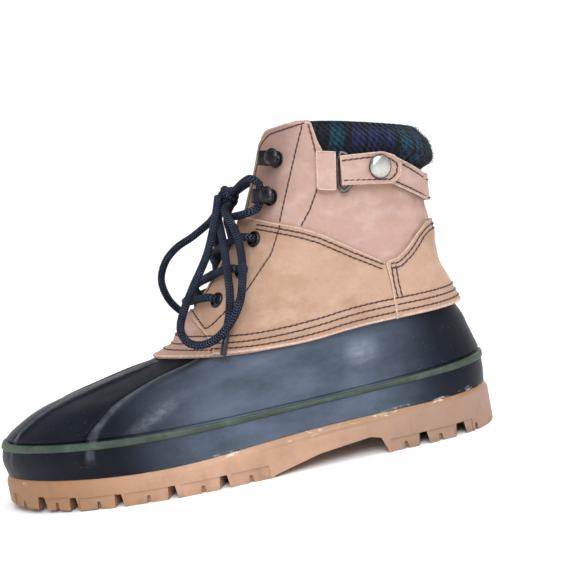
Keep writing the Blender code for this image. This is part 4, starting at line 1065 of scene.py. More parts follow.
def sole_blank():
    """The sole before its tread is cut: an outline extruded up in steps, with a bevelled rim."""
    steps = (
        (SOLE_LEDGE - 0.0004, lambda spot: sole_bottom(spot[0])),
        (SOLE_LEDGE, lambda spot: sole_bottom(spot[0]) + 0.0006),
        (SOLE_LEDGE, lambda spot: spot[2] - SOLE_BEVEL - 0.0004),
        (SOLE_LEDGE - 0.0003, lambda spot: spot[2] - SOLE_BEVEL + 0.0004),
        (SOLE_LEDGE - SOLE_BEVEL * 0.42, lambda spot: spot[2] - CLEARANCE - 0.0006),
        (SOLE_LEDGE - SOLE_BEVEL * 0.55, lambda spot: spot[2] - CLEARANCE),
    )
    angles = np.arange(0.0, 360.0, 2.5)
    rims = [[Vector((spot[0], spot[1], height(spot))) for spot in sole_rim(angles, grow)]
            for grow, height in steps]
    shape = bmesh.new()
    start = bmesh.ops.create_circle(shape, cap_ends=True, segments=len(rims[0]), radius=1.0)["verts"]
    for vert, spot in zip(start, rims[0]):
        vert.co = spot
    ring = list(start)
    edges = list(shape.edges)
    for rim in rims[1:]:
        grown = bmesh.ops.extrude_edge_only(shape, edges=edges)["geom"]
        edges = [item for item in grown if isinstance(item, bmesh.types.BMEdge) and item.is_boundary]
        fresh = new_verts(grown)
        links = {}
        for vert in ring:
            for edge in vert.link_edges:
                other = edge.other_vert(vert)
                if other in fresh:
                    links[vert] = other
        ring = [links[vert] for vert in ring]
        for vert, spot in zip(ring, rim):
            vert.co = spot
    shape.faces.new(ring)
    bmesh.ops.recalc_face_normals(shape, faces=shape.faces)
    return shape


def lug_gaps():
    """Slanted gaps between the side lugs."""
    shape = bmesh.new()
    reach = BALL_WIDTH * 0.6
    for share in FOREFOOT_GAPS + HEEL_GAPS:
        x = x_at(share)
        top = float(sole_bottom(x)) + LUG_HEIGHT
        depth = LUG_HEIGHT * 2
        for side in (-1, 1):
            centre = (x, side * (CHANNEL_PLACE + reach / 2), top - depth / 2)
            add_box(shape, centre, (GROOVE_WIDTH, reach, depth), side * LUG_SLANT, GAP_FLARE)
    return shape


def long_channels():
    """The channels along the forefoot and the heel."""
    shape = bmesh.new()
    for start, end in CHANNEL_RUNS:
        size = ((end - start) * LENGTH, CHANNEL_WIDTH, LUG_HEIGHT * CHANNEL_SHARE * 2)
        add_box(shape, (x_at((start + end) / 2), THROAT_MIDDLE, 0.0), size)
    return shape


def lug_steps():
    """Notches and set-back halves of the side lugs."""
    shape = bmesh.new()
    forefoot = (LUG_ENDS[0],) + FOREFOOT_GAPS + (LUG_ENDS[1],)
    heel = (LUG_ENDS[2],) + HEEL_GAPS + (LUG_ENDS[3],)
    for run in (forefoot, heel):
        for start, end in zip(run, run[1:]):
            share = END_LUG_STEP if start == forefoot[0] or end == heel[-1] else LUG_STEP
            for side in (-1, 1):
                spot, turn = sole_side_spot((start + end) / 2, side)
                low = float(sole_bottom(spot[0]))
                size = (NOTCH_WIDTH * 0.45, NOTCH_DEPTH * 2, LUG_HEIGHT * 1.15)
                add_box(shape, (spot[0], spot[1], low), size, turn, NOTCH_FLARE)
                spot, turn = sole_side_spot(start + (end - start) * (share / 2 + 0.08), side)
                low = float(sole_bottom(spot[0]))
                size = ((end - start) * LENGTH * share, LUG_SETBACK * 1.5, LUG_HEIGHT * 2)
                add_box(shape, (spot[0], spot[1], low), size, turn)
    return shape


arch = [(ARCH[0][0], -0.1)]
arch += [(x, rise * ARCH_RISE / SHAFT_HEIGHT) for x, rise in ARCH]
arch.append((ARCH[-1][0], -0.1))
sole = sole_blank()
for cutter, crosses in ((prism(arch, corner=0), False), (lug_gaps(), False),
                        (long_channels(), False), (lug_steps(), True)):
    sole = boolean(sole, cutter, crosses_itself=crosses)
finished("gum_outsole", sole, [gum], ["outsole"], sharp=30.0)
nodes["insole"].data.materials.clear()
nodes["insole"].data.materials.append(felt)


# Leather

WAVE_HEIGHT = 0.00035
# Creases: side, start and end in the side view, depth and width, in metres
CREASES = (
    (-1, (-0.044, 0.080), (-0.022, 0.077), 0.0010, 0.0022),
    (-1, (-0.040, 0.086), (-0.016, 0.081), 0.0008, 0.0020),
    (-1, (0.118, 0.125), (0.131, 0.116), 0.0009, 0.0028),
    (-1, (0.110, 0.118), (0.131, 0.108), 0.0008, 0.0030),
    (-1, (0.085, 0.128), (0.128, 0.132), 0.0006, 0.0045),
    (-1, (0.030, 0.108), (0.060, 0.096), 0.0005, 0.0050),
    (1, (-0.044, 0.080), (-0.022, 0.077), 0.0010, 0.0022),
    (1, (0.110, 0.122), (0.131, 0.112), 0.0009, 0.0030),
    (1, (0.085, 0.128), (0.128, 0.132), 0.0006, 0.0045),
)


def crease_depth(angle, level):
    """Soft troughs and swells of the worn leather."""
    spots = form(angle, level)
    side = np.where(np.sin(np.radians(angle)) >= 0.0, -1, 1)
    total = np.zeros(len(spots))
    for which, start, end, depth, width in CREASES:
        run = np.subtract(end, start)
        length = math.hypot(*run)
        run = run / length
        dx, dz = spots[:, 0] - start[0], spots[:, 2] - start[1]
        along = dx * run[0] + dz * run[1]
        off = -dx * run[1] + dz * run[0]
        taper = ease(1.0 - abs(along / length - 0.5) * 2.0 + 0.35)
        trough = np.exp(-(off / width) ** 2) - 0.45 * np.exp(-((off - width * 2) / (width * 1.3)) ** 2)
        total += np.where(side == which, -depth * trough * taper, 0.0)
    x, z = spots[:, 0], spots[:, 2]
    waves = np.sin(x * 95.0 + z * 60.0) * np.sin(z * 110.0 - x * 45.0 + 1.3)
    return total + waves * WAVE_HEIGHT * ease((level - TOPLINE - 0.3) / 0.8)


def leather_piece(name, shape, node_name, slot):
    """Makes a leather piece with raw cut edges."""
    leather = {"pink_leather": pink_leather, "tan_leather": tan_leather}[slot]
    finished(name, shape, [leather, raw_edge], [node_name], sharp=40.0)


OPEN_SIDE = THROAT_MIDDLE - THROAT_HALF, THROAT_MIDDLE + THROAT_HALF
leather_levels = np.concatenate((np.arange(TOPLINE, 7.0, 0.1), np.arange(7.0, RIM - 0.01, 0.09), [RIM]))


def eyelet_holes():
    """Cylinders through the leather at each eyelet."""
    shape = bmesh.new()
    for spot in EYELETS:
        for side in (-1, 1):
            matrix = frame_on_form(side_place(spot), side, OVERLAY_INNER)
            bmesh.ops.create_cone(
                shape, cap_ends=True, segments=20, radius1=EYELET_HOLE, radius2=EYELET_HOLE,
                depth=OVERLAY_OUTER * 3, matrix=matrix,
            )
    return shape


leather = form_sheet(around(), leather_levels, LEATHER_OUTER, LEATHER_INNER, crease_depth, 1)
leather = boolean(leather, prism(ABOVE_COLLAR_OUTLINE))
leather = boolean(leather, prism(THROAT_OUTLINE, *OPEN_SIDE))
leather = boolean(leather, eyelet_holes())
leather_piece("leather_shaft", leather, "leather_upper", "pink_leather")

panel_levels = np.arange(TOPLINE, 11.001, 0.09)
for name, node_name, angles, start, end in (
    ("quarter_panel_outer", "quarter_outer", np.arange(4.0, 141.0, 2.0), -BALL_WIDTH, OPEN_SIDE[0]),
    ("quarter_panel_inner", "quarter_inner", np.arange(220.0, 357.0, 2.0), OPEN_SIDE[1], BALL_WIDTH),
):
    panel = form_sheet(angles, panel_levels, OVERLAY_OUTER, OVERLAY_INNER, crease_depth, 1)
    panel = boolean(cut_sheet(panel, QUARTER_OUTLINE, start, end), eyelet_holes())
    leather_piece(name, panel, node_name, "tan_leather")
panel = form_sheet(np.arange(90.0, 271.0, 2.0), panel_levels, COUNTER_OUTER, OVERLAY_INNER, crease_depth, 1)
leather_piece("heel_panel", cut_sheet(panel, COUNTER_OUTLINE), "heel_counter", "tan_leather")

tongue_angles = np.arange(-59.0, 59.1, 2.0)
shape = form_sheet(tongue_angles, np.linspace(6.5, 12.4, 60), TONGUE_OUTER, TONGUE_INNER)
finished("tongue_leather_piece", shape, [tongue_leather], ["tongue"], sharp=40.0)


# Knit cuff

CUFF_RIM_START = 12.4
CUFF_RIM_LEVELS = 0.6


def strap_top(x):
    """Height of the strap's upper edge in the side view."""
    places = [side_place(spot) for spot in STRAP_OUTLINE[:5]]
    return np.interp(x, [spot[0] for spot in places], [spot[1] for spot in places])


def back_share(x):
    """How far back a place on the collar lies, from 0 at the rings to 1."""
    return ease((x - x_at(0.755)) / (LENGTH * 0.19))


def rim_share(level):
    """How far up the cuff's rounded rim a level lies, from 0 to 1."""
    return ease((level - CUFF_RIM_START) / CUFF_RIM_LEVELS)


def cuff_outer(angle, level):
    """The knit swells out above the strap, most at the back, and rounds over at the top."""
    spot = form(angle, level)
    round_back = back_share(spot[:, 0])
    above = ease((spot[:, 2] - strap_top(spot[:, 0]) + CUFF_BULGE * 0.1) / (CUFF_BULGE * 1.3))
    corner = round_back * np.clip((level - 11.6) / 1.4, 0, 1) ** 2
    rounding = CUFF_WALL * (0.45 * rim_share(level) + 1.7 * corner)
    return CUFF_BULGE * round_back * above - CLEARANCE - rounding


def cuff_inner(angle, level):
    """Inner side of the knit."""
    rounding = CUFF_WALL * 0.5 * rim_share(level)
    outer = cuff_outer(angle, level)
    straight = np.maximum(outer, 0.0) * 0.6 - CUFF_WALL - CLEARANCE + rounding
    return np.minimum(straight, outer - CUFF_WALL * 0.3)


shape = form_sheet(np.arange(64.0, 296.5, 1.5), np.linspace(9.5, RIM, 56), cuff_outer, cuff_inner)
cuff = finished("plaid_cuff", shape, [knit], ["collar_cuff"], sharp=70.0)


# Strap, tabs, rings and snap

def ring_route(side):
    """Points of a D-ring: a straight bar in the tab and a round side in the strap's fold."""
    middle_x, middle_z = side_place(RING_PLACE)
    flat = [(0.0, z * RING_HEIGHT / 2) for z in (-0.62, -0.3, 0.0, 0.3, 0.62)]
    turns = [math.radians(degrees) for degrees in range(80, -81, -10)]
    bow = [(RING_DEPTH * (0.12 + 0.88 * math.cos(turn)), RING_HEIGHT / 2 * math.sin(turn)) for turn in turns]
    across, up = np.array(flat + bow).T
    offset = RING_AT_TAB + (RING_AT_STRAP - RING_AT_TAB) * across / RING_DEPTH
    x = middle_x + across * math.cos(RING_LEAN) + up * math.sin(RING_LEAN)
    z = middle_z - across * math.sin(RING_LEAN) + up * math.cos(RING_LEAN)
    angle, level = find_on_form(np.stack((x, z), axis=-1), side, offset)
    return form_at(angle, level, offset)


strap_levels = np.arange(9.0, RIM + 0.001, 0.1)
fits = []
for side, side_name in SIDES:
    angles = np.arange(60.0, 121.0, 2.0) if side < 0 else np.arange(240.0, 301.0, 2.0)
    route = ring_route(side)
    fits.append(lambda route=route: tube(route, RING_WIRE / 2 + CLEARANCE, 12, closed=True))
    shape = tube(route, RING_WIRE / 2, 16, closed=True)
    finished(f"ring_{side_name}", shape, [ring_metal], [f"d_ring_{side_name}"], sharp=60.0)
    start, end = sorted((side * BALL_WIDTH, 0.0))
    tab = form_sheet(angles, strap_levels, OVERLAY_INNER + TAB_WALL, OVERLAY_INNER)
    tab = boolean(cut_sheet(tab, RING_TAB_OUTLINE, start, end), fits[-1]())
    leather_piece(f"tab_{side_name}", tab, f"ring_tab_{side_name}", "pink_leather")
strap = form_sheet(np.arange(60.0, 301.0, 2.0), strap_levels, STRAP_OUTER, STRAP_INNER)
strap = cut_sheet(strap, STRAP_OUTLINE)
for fit in fits:
    strap = boolean(strap, fit())
leather_piece("collar_strap", strap, "strap", "pink_leather")
fold = form_sheet(np.arange(60.0, 171.0, 2.0), strap_levels, STRAP_END_OUTER, STRAP_END_INNER)
fold = boolean(cut_sheet(fold, STRAP_END_OUTLINE, high_y=0.0), fits[0]())
leather_piece("strap_fold", fold, "strap_end", "pink_leather")

# The snap's dome, as shares of its radius and height
SNAP_PROFILE = (
    (0.0, 0.0), (0.96, 0.0), (1.0, 0.12), (1.0, 0.3), (0.96, 0.45), (0.86, 0.68), (0.72, 0.84), (0.55, 0.93),
    (0.3, 0.98), (0.0, 1.0),
)
snap_place = frame_on_form(side_place(SNAP), -1, STRAP_END_OUTER + HARDWARE_LIFT * 0.3)
shape = lathe([(SNAP_RADIUS * out, SNAP_HEIGHT * up) for out, up in SNAP_PROFILE], 40, snap_place)
finished("snap_dome", shape, [pewter], ["snap_cap"], sharp=50.0)
rim = []
for turn in np.linspace(0.0, math.tau, 49)[:-1]:
    spot = (SNAP_RADIUS * math.cos(turn), SNAP_RADIUS * math.sin(turn), SNAP_RIM_HEIGHT)
    rim.append(snap_place @ Vector(spot))
finished("snap_rim", tube(rim, SNAP_RIM, 10, closed=True), [ring_metal], [], sharp=60.0)


# Eyelets and hooks

EYELET_PROFILE = (
    (EYELET_HOLE, -0.0016), (EYELET_HOLE, 0.0006), (EYELET_HOLE + 0.0003, EYELET_THICKNESS * 0.9),
    (EYELET_HOLE + 0.0008, EYELET_THICKNESS), (EYELET_FLANGE - 0.0005, EYELET_THICKNESS * 0.8),
    (EYELET_FLANGE, EYELET_THICKNESS * 0.3), (EYELET_FLANGE, -0.0002), (EYELET_HOLE + 0.0004, -0.0002),
    (EYELET_HOLE + 0.0004, -0.0016), (EYELET_HOLE, -0.0016),
)
for side, side_name in SIDES:
    for number, spot in enumerate(EYELETS, 1):
        matrix = frame_on_form(side_place(spot), side, OVERLAY_OUTER + HARDWARE_LIFT * 0.4)
        name = f"{side_name}_{number}"
        shape = lathe(EYELET_PROFILE, 32, matrix)
        finished(f"lace_eyelet_{name}", shape, [black_metal], [f"eyelet_{name}"], sharp=50.0)


def hook_plate_outline():
    """Side outline of a hook's bent plate: foot, turn at the throat side, and free end back over it."""
    gap = HALF_LACE + 2 * CLEARANCE + HOOK_PLATE / 2
    middle = [(-HOOK_BEND, 0.0), (HOOK_BEND, 0.0)]
    for degrees in range(-75, 91, 15):
        turn = math.radians(degrees)
        middle.append((HOOK_BEND + gap * math.cos(turn), gap + gap * math.sin(turn)))
    middle.append((-HOOK_LENGTH * 0.34, 2 * gap - HOOK_PLATE * 0.2))
    points = np.array(middle)
    run = np.gradient(points, axis=0)
    run /= np.linalg.norm(run, axis=1)[:, None]
    sideways = np.column_stack((-run[:, 1], run[:, 0])) * HOOK_PLATE / 2
    both = np.vstack((points + sideways, (points - sideways)[::-1]))
    return both + (0.0, HOOK_PLATE / 2 + HOOK_BASE_THICKNESS * 0.5)


for side, side_name in SIDES:
    for number, spot in enumerate(HOOKS, 1):
        matrix = frame_on_form(side_place(spot), side, LEATHER_OUTER + HARDWARE_LIFT * 0.3)
        shape = slab(hook_plate_outline(), -HOOK_WIDTH / 2, HOOK_WIDTH / 2)
        rims = [edge for edge in shape.edges if edge.calc_face_angle() > math.radians(50.0)]
        bmesh.ops.bevel(
            shape, geom=rims, offset=HOOK_PLATE * 0.3, affect="EDGES", segments=2, profile=0.5, material=-1,
        )
        bmesh.ops.transform(shape, matrix=matrix, verts=shape.verts)
        base = [(0.0, 0.0), (HOOK_BASE * 1.05, 0.0), (HOOK_BASE * 1.05, HOOK_BASE_THICKNESS * 0.45)]
        base += [(HOOK_BASE * 0.98, HOOK_BASE_THICKNESS * 0.6)]
        base += domed(HOOK_BASE * 0.8, HOOK_BASE_THICKNESS * 0.6, HOOK_BASE_THICKNESS * 1.3)
        place = matrix @ Matrix.Translation((-HOOK_LENGTH * 0.08, 0.0, 0.0))
        shape = boolean(shape, lathe(base, 28, place), "UNION")
        top = hook_plate_outline()[:, 1].max() - HOOK_PLATE * 0.4
        head = [(0.0, 0.0), (HOOK_HEAD * 0.94, 0.0), (HOOK_HEAD, HOOK_PLATE * 0.3)]
        head += domed(HOOK_HEAD, HOOK_PLATE * 0.7, HOOK_PLATE * 1.5)
        place = matrix @ Matrix.Translation((-HOOK_LENGTH * 0.44, 0.0, top))
        shape = boolean(shape, lathe(head, 28, place), "UNION")
        name = f"{side_name}_{number}"
        finished(f"speed_hook_{name}", shape, [black_metal], [f"lace_hook_{name}"], sharp=40.0)


# Lace over the throat

def on_form(route):
    """World points of a route given as angle from the front, level and offset."""
    values = np.array(route, float)
    return form_at(values[:, 0] % 360.0, values[:, 1], values[:, 2])


LACE_UNDER = TONGUE_OUTER + HALF_LACE + 2 * CLEARANCE
LACE_OVER = OVERLAY_OUTER + HALF_LACE + 2 * CLEARANCE


def eyelet_spot(row, side):
    """Angle, from the front, and level of an eyelet."""
    angle, level = find_on_form([side_place(EYELETS[row])], side, OVERLAY_OUTER)
    return float(angle[0]), float(level[0])


def into_eyelet(away, level):
    """Last points of a strand that goes into an eyelet, whose angle is counted from the front."""
    return [
        (away * 0.84, level, LACE_OVER + HALF_LACE * 0.9), (away * 0.98, level, LACE_OVER + HALF_LACE * 0.6),
        (away * 1.01, level, OVERLAY_OUTER), (away, level, -LEATHER_WALL * 0.4),
    ]


def crossing_route(start_row, end_row, side):
    """A strand from under one side's edge, over the throat, into the other side's eyelet."""
    angle, level = eyelet_spot(end_row, side)
    low_level = eyelet_spot(start_row, -side)[1]
    away = angle if side < 0 else angle - 360.0
    start = SLOT_ANGLE * (1 if side > 0 else -1)
    middle = (low_level + level) / 2
    return on_form([
        (start, low_level, LACE_UNDER),
        (start * 0.6, low_level * 0.7 + level * 0.3, (LACE_UNDER + LACE_OVER) / 2),
        (0.0, middle, LACE_OVER),
        (away * 0.55, middle * 0.35 + level * 0.65, LACE_OVER + HALF_LACE * 0.3),
    ] + into_eyelet(away, level))


def hook_route(side):
    """The top strand: over the throat, through the lower hook and to the knot."""
    low_level = eyelet_spot(2, -side)[1]
    start = SLOT_ANGLE * (1 if side > 0 else -1)
    matrix = frame_on_form(side_place(HOOKS[0]), side, LEATHER_OUTER + HARDWARE_LIFT)
    rise = HOOK_BASE_THICKNESS * 0.5 + HOOK_PLATE + HALF_LACE + 2 * CLEARANCE
    up = 1.0 if (matrix @ Vector((0.0, 1.0, 0.0))).z > matrix.translation.z else -1.0
    bends = (
        (HOOK_BEND + 0.006, -0.0100, rise + 0.0034), (HOOK_BEND, -0.0070, rise + 0.0009),
        (HOOK_BEND - 0.0007, -0.003, rise), (HOOK_BEND - 0.0007, 0.003, rise),
        (HOOK_BEND, 0.0070, rise + 0.0009), (HOOK_BEND + 0.005, 0.0095, rise + 0.0034),
    )
    around_hook = [np.array(matrix @ Vector((x, up * y, z))) for x, y, z in bends]
    first = list(on_form((
        (start, low_level, LACE_UNDER),
        (start * 0.6, low_level + 0.2, (LACE_UNDER + LACE_OVER) / 2),
        (0.0, low_level + 0.42, LACE_OVER),
    )))
    knot = np.array(KNOT_CENTRE)
    away = (around_hook[-1] - knot) / np.linalg.norm(around_hook[-1] - knot)
    end = knot + away * (0.8 / np.linalg.norm(away / np.array(KNOT_RADII)))
    return first + around_hook + [end]


def joined(shapes):
    """Several bmeshes as one."""
    whole = bmesh.new()
    whole.loops.layers.uv.verify()
    for part in shapes:
        mesh = bpy.data.meshes.new("joining")
        part.to_mesh(mesh)
        part.free()
        whole.from_mesh(mesh)
        bpy.data.meshes.remove(mesh)
    return whole


def lace_strand(route):
    """One stretch of lace."""
    return tube(smooth_route(route, 48), HALF_LACE, LACE_SIDES)


angle, level = eyelet_spot(0, -1)
far_angle, far_level = eyelet_spot(0, 1)
far_angle -= 360.0
bar = on_form(into_eyelet(angle, level)[::-1] + [
    (angle * 0.5, level, LACE_OVER + HALF_LACE * 0.4),
    (0.0, level, LACE_OVER),
    (far_angle * 0.5, far_level, LACE_OVER + HALF_LACE * 0.4),
] + into_eyelet(far_angle, far_level))
lace_piece("lace_over_vamp", lace_strand(bar), "lace_bar")
pairs = [[crossing_route(row, row + 1, side) for side in (-1, 1)] for row in (0, 1)]
pairs.append([hook_route(side) for side in (-1, 1)])
for number, pair in enumerate(pairs, 1):
    strands = [lace_strand(route) for route in pair]
    lace_piece(f"lace_cross_{number}", joined(strands), f"lace_crossing_{number}")


def knot_strands():
    """The knot: strands wound round each other inside the solid's place."""
    centre = np.array(KNOT_CENTRE)
    radii = np.array(KNOT_RADII) - HALF_LACE * 0.75
    shapes = []
    for tilt, lean, share in ((0.0, 0.35, 1.0), (1.25, -0.4, 0.95), (2.3, 0.5, 0.9)):
        turns = np.linspace(0.0, math.tau, 25)[:-1]
        flat = np.stack((np.cos(turns), np.sin(turns), lean * np.sin(turns * 2.0)), axis=-1)
        spin = Matrix.Rotation(tilt, 3, (0.3, 0.2, 1.0)) @ Matrix.Rotation(tilt * 0.7, 3, (1.0, 0.0, 0.3))
        ring = centre + (flat @ np.array(spin).T) * radii * share
        shapes.append(tube(ring, HALF_LACE * 0.85, 12, closed=True))
    return joined(shapes)


lace_piece("bow_knot", knot_strands(), "lace_knot")


# Stitches

STITCH_PITCH = 0.0031
STITCH_WIDTH = 0.00052
STITCH_HEIGHT = 0.00046
THROAT_STITCH = 0.0026
EDGE_ROWS = (0.0028, 0.0064, 0.0100)


def stitches(runs):
    """Joined small stitches along runs of points that lie on the leather, with their outward directions."""
    shapes = []
    for points, normals in runs:
        shape = bmesh.new()
        shapes.append(shape)
        lengths = lengths_along(points)
        count = max(int(lengths[-1] / STITCH_PITCH), 1)
        pitch = lengths[-1] / count
        for k in range(count):
            at = (k + 0.5) * pitch
            spot, ahead, behind = (
                Vector([np.interp(place, lengths, points[:, axis]) for axis in range(3)])
                for place in (at, at + pitch * 0.4, at - pitch * 0.4)
            )
            outward = Vector([np.interp(at, lengths, normals[:, axis]) for axis in range(3)]).normalized()
            run = (ahead - behind).normalized()
            lean = outward.cross(run) * (0.10 + math.sin(k * 2.4) * 0.06)
            run = (run + lean).normalized()
            turn = axes(run, outward.cross(run).normalized(), outward)
            size = Matrix.Diagonal((pitch * 0.62, STITCH_WIDTH, STITCH_HEIGHT, 1.0))
            place = Matrix.Translation(spot) @ turn @ size
            bmesh.ops.create_icosphere(shape, subdivisions=1, radius=1.0, matrix=place)
    return joined(shapes)


def surface_offset(x, z):
    """Offset of the outermost leather at a place in the side view."""
    front = np.interp(z, [0.057, 0.082, 0.096, 0.100], [-0.003, -0.008, -0.0184, -0.024])
    on_quarter = np.where(x > front, OVERLAY_OUTER, LEATHER_OUTER)
    return np.where(x > 0.098, COUNTER_OUTER, on_quarter)


def laid_run(angle, level, offset):
    """Run of points on the leather, which follow its creases."""
    offset = offset + crease_depth(angle, level) + 0.0001
    return form_at(angle, level, offset), form_normal(angle, level)


def side_run(places, side, offset):
    """Run of points on the leather through places in the side view, in millimetres."""
    spots = np.array(places, float) / 1000.0
    lengths = lengths_along(spots)
    at = np.linspace(0.0, lengths[-1], max(int(lengths[-1] / 0.002), 2) + 1)
    spots = np.stack([np.interp(at, lengths, spots[:, axis]) for axis in range(2)], axis=-1)
    angle, level = find_on_form(spots, side, offset)
    return laid_run(angle, level, offset)


def level_at_height(angles, heights, low, high):
    """Levels at which the form has given heights."""
    grid = np.linspace(low, high, 61)
    rows = form(np.asarray(angles)[:, None], grid[None, :])[..., 2]
    return np.array([np.interp(height, row, grid) for height, row in zip(heights, rows)])


def edge_run(distance):
    """Stitch row all round the leather's lower edge, at a distance above it."""
    angles = np.arange(0.0, 360.1, 1.5)
    edge = form(angles, np.full(len(angles), TOPLINE))[:, 2]
    levels = level_at_height(angles, edge + distance, TOPLINE, 8.0)
    spots = form(angles, levels)
    offset = surface_offset(spots[:, 0], spots[:, 2])
    return laid_run(angles, levels, offset)


def band_run(first, last, height, offset):
    """Stitch row round the back at one height, between two angles."""
    angles = np.arange(first, last + 0.1, 2.0)
    levels = level_at_height(angles, np.full(len(angles), height), 8.0, RIM)
    return form_at(angles, levels, offset + 0.0001), form_normal(angles, levels)


def throat_run(low, high, side, offset):
    """Stitch row beside the throat's edge, between two heights."""
    angles = np.arange(1.0, 80.0, 0.5)
    real = angles if side < 0 else 360.0 - angles
    levels = np.linspace(7.0, 12.9, 90)
    spots = form_at(real[None, :], levels[:, None], np.full((len(levels), len(angles)), offset))
    goal = THROAT_MIDDLE + side * (THROAT_HALF + THROAT_STITCH)
    found = np.array([np.interp(side * goal, side * row[:, 1], real) for row in spots])
    here = form_at(found, levels, np.full(len(levels), offset))
    keep = (here[:, 2] > low) & (here[:, 2] < high)
    return laid_run(found[keep], levels[keep], offset)


def shifted(places, distance):
    """A line moved sideways, to the left of its direction, in the same units."""
    places = np.array(places, float)
    run = np.gradient(places, axis=0)
    run /= np.linalg.norm(run, axis=1)[:, None]
    return places + np.column_stack((-run[:, 1], run[:, 0])) * distance


# Stitch lines in the side view, in millimetres
QUARTER_TOP = ((30.0, 138.9), (38.0, 136.0), (53.0, 130.0), (63.0, 125.0), (80.0, 113.6), (95.5, 103.8))
COUNTER_TOP = ((99.0, 103.6), (104.0, 103.4), (111.0, 107.5), (117.0, 112.6), (124.0, 118.8), (131.5, 121.0))
QUARTER_TIP = (
    (-16.2, 97.0), (-9.0, 86.0), (-4.0, 88.5), (5.0, 95.0), (19.0, 105.0), (35.0, 121.0), (43.0, 136.0),
)
FLAP_BACK = ((43.0, 137.5), (54.0, 163.0), (65.0, 187.0))
FLAP_TOP = ((37.5, 177.0), (42.0, 183.5), (46.8, 186.8), (66.5, 188.0))
WEDGE = ((68.3, 187.0), (69.2, 176.0), (69.3, 164.0), (68.0, 154.0), (60.5, 141.0), (54.0, 133.0))
HEEL_SEAM = ((99.4, 102.0), (99.0, 94.0), (99.4, 84.5))
FOLD_EDGE = (
    (82.0, 163.6), (95.0, 163.0), (104.5, 162.0), (109.6, 159.8), (112.2, 156.5), (111.2, 151.8),
    (107.0, 149.2), (81.0, 153.1),
)
STRAP_UPPER = ((115.5, 156.4), (128.5, 147.0))
STRAP_LOWER = ((110.5, 147.4), (128.5, 136.2))

runs = [edge_run(distance) for distance in EDGE_ROWS]
for side in (-1, 1):
    for shift in (-0.3, -2.9):
        runs.append(side_run(shifted(QUARTER_TOP, shift), side, OVERLAY_OUTER))
        runs.append(side_run(shifted(COUNTER_TOP, shift), side, COUNTER_OUTER))
        runs.append(side_run(shifted(HEEL_SEAM, -shift - 0.3), side, COUNTER_OUTER))
    runs += [side_run(places, side, LEATHER_OUTER) for places in (FLAP_BACK, FLAP_TOP, WEDGE)]
    runs.append(side_run(QUARTER_TIP, side, OVERLAY_OUTER))
    runs.append(throat_run(0.100, 0.141, side, OVERLAY_OUTER))
    runs.append(throat_run(0.146, 0.174, side, LEATHER_OUTER))
runs.append(side_run(FOLD_EDGE, -1, STRAP_END_OUTER))
runs += [band_run(164.0, 196.0, height, COUNTER_OUTER) for height in (0.1196, 0.1170)]
for places, height in ((STRAP_UPPER, 0.1460), (STRAP_LOWER, 0.1352)):
    runs += [side_run(places, side, STRAP_OUTER) for side in (-1, 1)]
    runs.append(band_run(162.0, 198.0, height, STRAP_OUTER))
finished("panel_stitches", stitches(runs), [thread], [], sharp=80.0)


# Pale rolled edges of the cut leather

EDGE_RADIUS = 0.00048
HEM_RADIUS = 0.00085


def edge_bead(outline, side, offset):
    """Rounded raw edge along an outline given in shares, where it lies beside the throat's opening."""
    places = np.array([side_place(spot) for spot in outline]) * 1000.0
    points, _ = side_run(places, side, offset - EDGE_RADIUS * 0.75)
    on_leather = abs(points[:, 1] - THROAT_MIDDLE) > THROAT_HALF + EDGE_RADIUS
    return tube(points[on_leather], EDGE_RADIUS, 8)


CUT_EDGES = (
    (QUARTER_OUTLINE[1:3] + ((0.4795, 0.384),), OVERLAY_OUTER),
    (QUARTER_OUTLINE[:5:-1], OVERLAY_OUTER),
    (((0.828, 0.384),) + COUNTER_OUTLINE[1:8], COUNTER_OUTER),
    (ABOVE_COLLAR_OUTLINE[1:8], LEATHER_OUTER),
    (RING_TAB_OUTLINE + RING_TAB_OUTLINE[:1], OVERLAY_INNER + TAB_WALL),
    (STRAP_OUTLINE[1:4], STRAP_OUTER),
    (STRAP_OUTLINE[6:8], STRAP_OUTER),
)
beads = [edge_bead(outline, side, offset) for side in (-1, 1) for outline, offset in CUT_EDGES]
beads.append(edge_bead(STRAP_END_OUTLINE, -1, STRAP_END_OUTER))
angles = np.arange(0.0, 359.9, 1.5)
levels = np.full(len(angles), TOPLINE + 0.02)
hem = form(angles, levels)
offsets = surface_offset(hem[:, 0], hem[:, 2]) - HEM_RADIUS * 0.8
hem = form_at(angles, levels, offsets + crease_depth(angles, levels))
beads.append(tube(hem, HEM_RADIUS, 10, closed=True, aside=(0.0, 0.0, 1.0)))
finished("leather_edges", joined(beads), [raw_edge], [], sharp=80.0)


# Wool fibres that stand off the cuff

CHUNK = 60
FIBRE_COUNT = 2600
FIBRE_LENGTH = 0.0012
# Steps that scatter places evenly over angles, levels and lengths
ANGLE_STEP, LEVEL_STEP, LENGTH_STEP = 0.6180339887, 0.7548776662, 0.5698402910


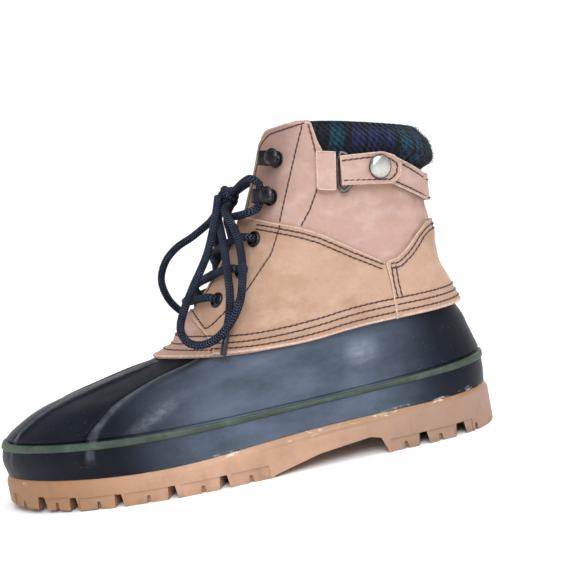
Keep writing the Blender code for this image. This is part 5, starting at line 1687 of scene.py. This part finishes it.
def fibres(count):
    """Fine slivers scattered over the cuff's outer side and rim."""
    spread = np.arange(count)
    angles = 66.0 + 228.0 * ((spread * ANGLE_STEP) % 1.0)
    levels = 10.9 + 2.1 * ((spread * LEVEL_STEP) % 1.0) ** 0.7
    lengths = FIBRE_LENGTH + FIBRE_LENGTH * ((spread * LENGTH_STEP) % 1.0)
    spots = form_at(angles, levels, cuff_outer(angles, levels))
    leans = np.stack((np.sin(spread * 1.7), np.sin(spread * 2.9), np.sin(spread * 4.3) + 0.5), axis=-1)
    runs = form_normal(angles, levels) * 0.55 + leans * 0.65
    runs[:, 2] += ease((levels - 12.7) / 0.3)
    shapes = []
    for k in range(count):
        if k % CHUNK == 0:
            shapes.append(bmesh.new())
        run = Vector(runs[k]).normalized()
        spot = Vector(spots[k]) + run * lengths[k] * 0.35
        place = Matrix.Translation(spot) @ run.to_track_quat("Z", "Y").to_matrix().to_4x4()
        bmesh.ops.create_cone(
            shapes[-1], cap_ends=True, segments=3, radius1=0.00010, radius2=0.00004, depth=lengths[k],
            matrix=place,
        )
    return joined(shapes)


finished("wool_fibres", fibres(FIBRE_COUNT), [wool_fibre], [], sharp=80.0)


# Floor and light
FLOOR_RADIUS = 1.6
profile = [(0.0, 0.0), (FLOOR_RADIUS, 0.0)]
profile += [(FLOOR_RADIUS + 0.9 * math.sin(turn), 0.9 * (1.0 - math.cos(turn)))
            for turn in np.linspace(0.1, math.radians(48.0), 7)]
profile += [(profile[-1][0] + 1.5, profile[-1][1] + 1.6)]
floor_shape = lathe(profile, 64, Matrix.Identity(4))
bmesh.ops.reverse_faces(floor_shape, faces=floor_shape.faces)
floor_mesh = bpy.data.meshes.new("floor")
floor_shape.to_mesh(floor_mesh)
floor_shape.free()
floor_mesh.shade_smooth()
floor = in_scene("floor", floor_mesh)
floor_look = Finish("floor_paper", 0.9)
floor_look.shader.inputs["Base Color"].default_value = (0.95, 0.95, 0.95, 1.0)
floor_mesh.materials.append(floor_look.material)


def area_light(name, place, aim, size, power, tone=(1.0, 1.0, 1.0)):
    """A soft rectangular light."""
    data = bpy.data.lights.new(name, "AREA")
    data.shape = "RECTANGLE"
    data.size, data.size_y = size
    data.energy = power
    data.color = tone
    made = in_scene(name, data)
    made.location = place
    made.rotation_euler = (Vector(aim) - Vector(place)).to_track_quat("-Z", "Y").to_euler()


area_light("light_window", (0.12, -1.05, 0.70), (0.02, -0.03, 0.05), (0.70, 0.40), 7.5, (0.86, 0.93, 1.0))
area_light("light_back", (0.6, 0.9, 0.9), (0.0, 0.0, 0.10), (0.8, 0.6), 4.0)
sun_data = bpy.data.lights.new("light_sky", "SUN")
sun_data.energy = 2.1
sun_data.angle = math.radians(60.0)
sun = in_scene("light_sky", sun_data)
sun.rotation_euler = Vector((-0.16, 0.44, -0.88)).to_track_quat("-Z", "Y").to_euler()
world = bpy.data.worlds.new("studio")
world.use_nodes = True
world.node_tree.nodes["Background"].inputs["Color"].default_value = (1.0, 1.0, 1.0, 1.0)
world.node_tree.nodes["Background"].inputs["Strength"].default_value = 0.38
bpy.context.scene.world = world
bpy.context.scene.view_settings.view_transform = "Standard"
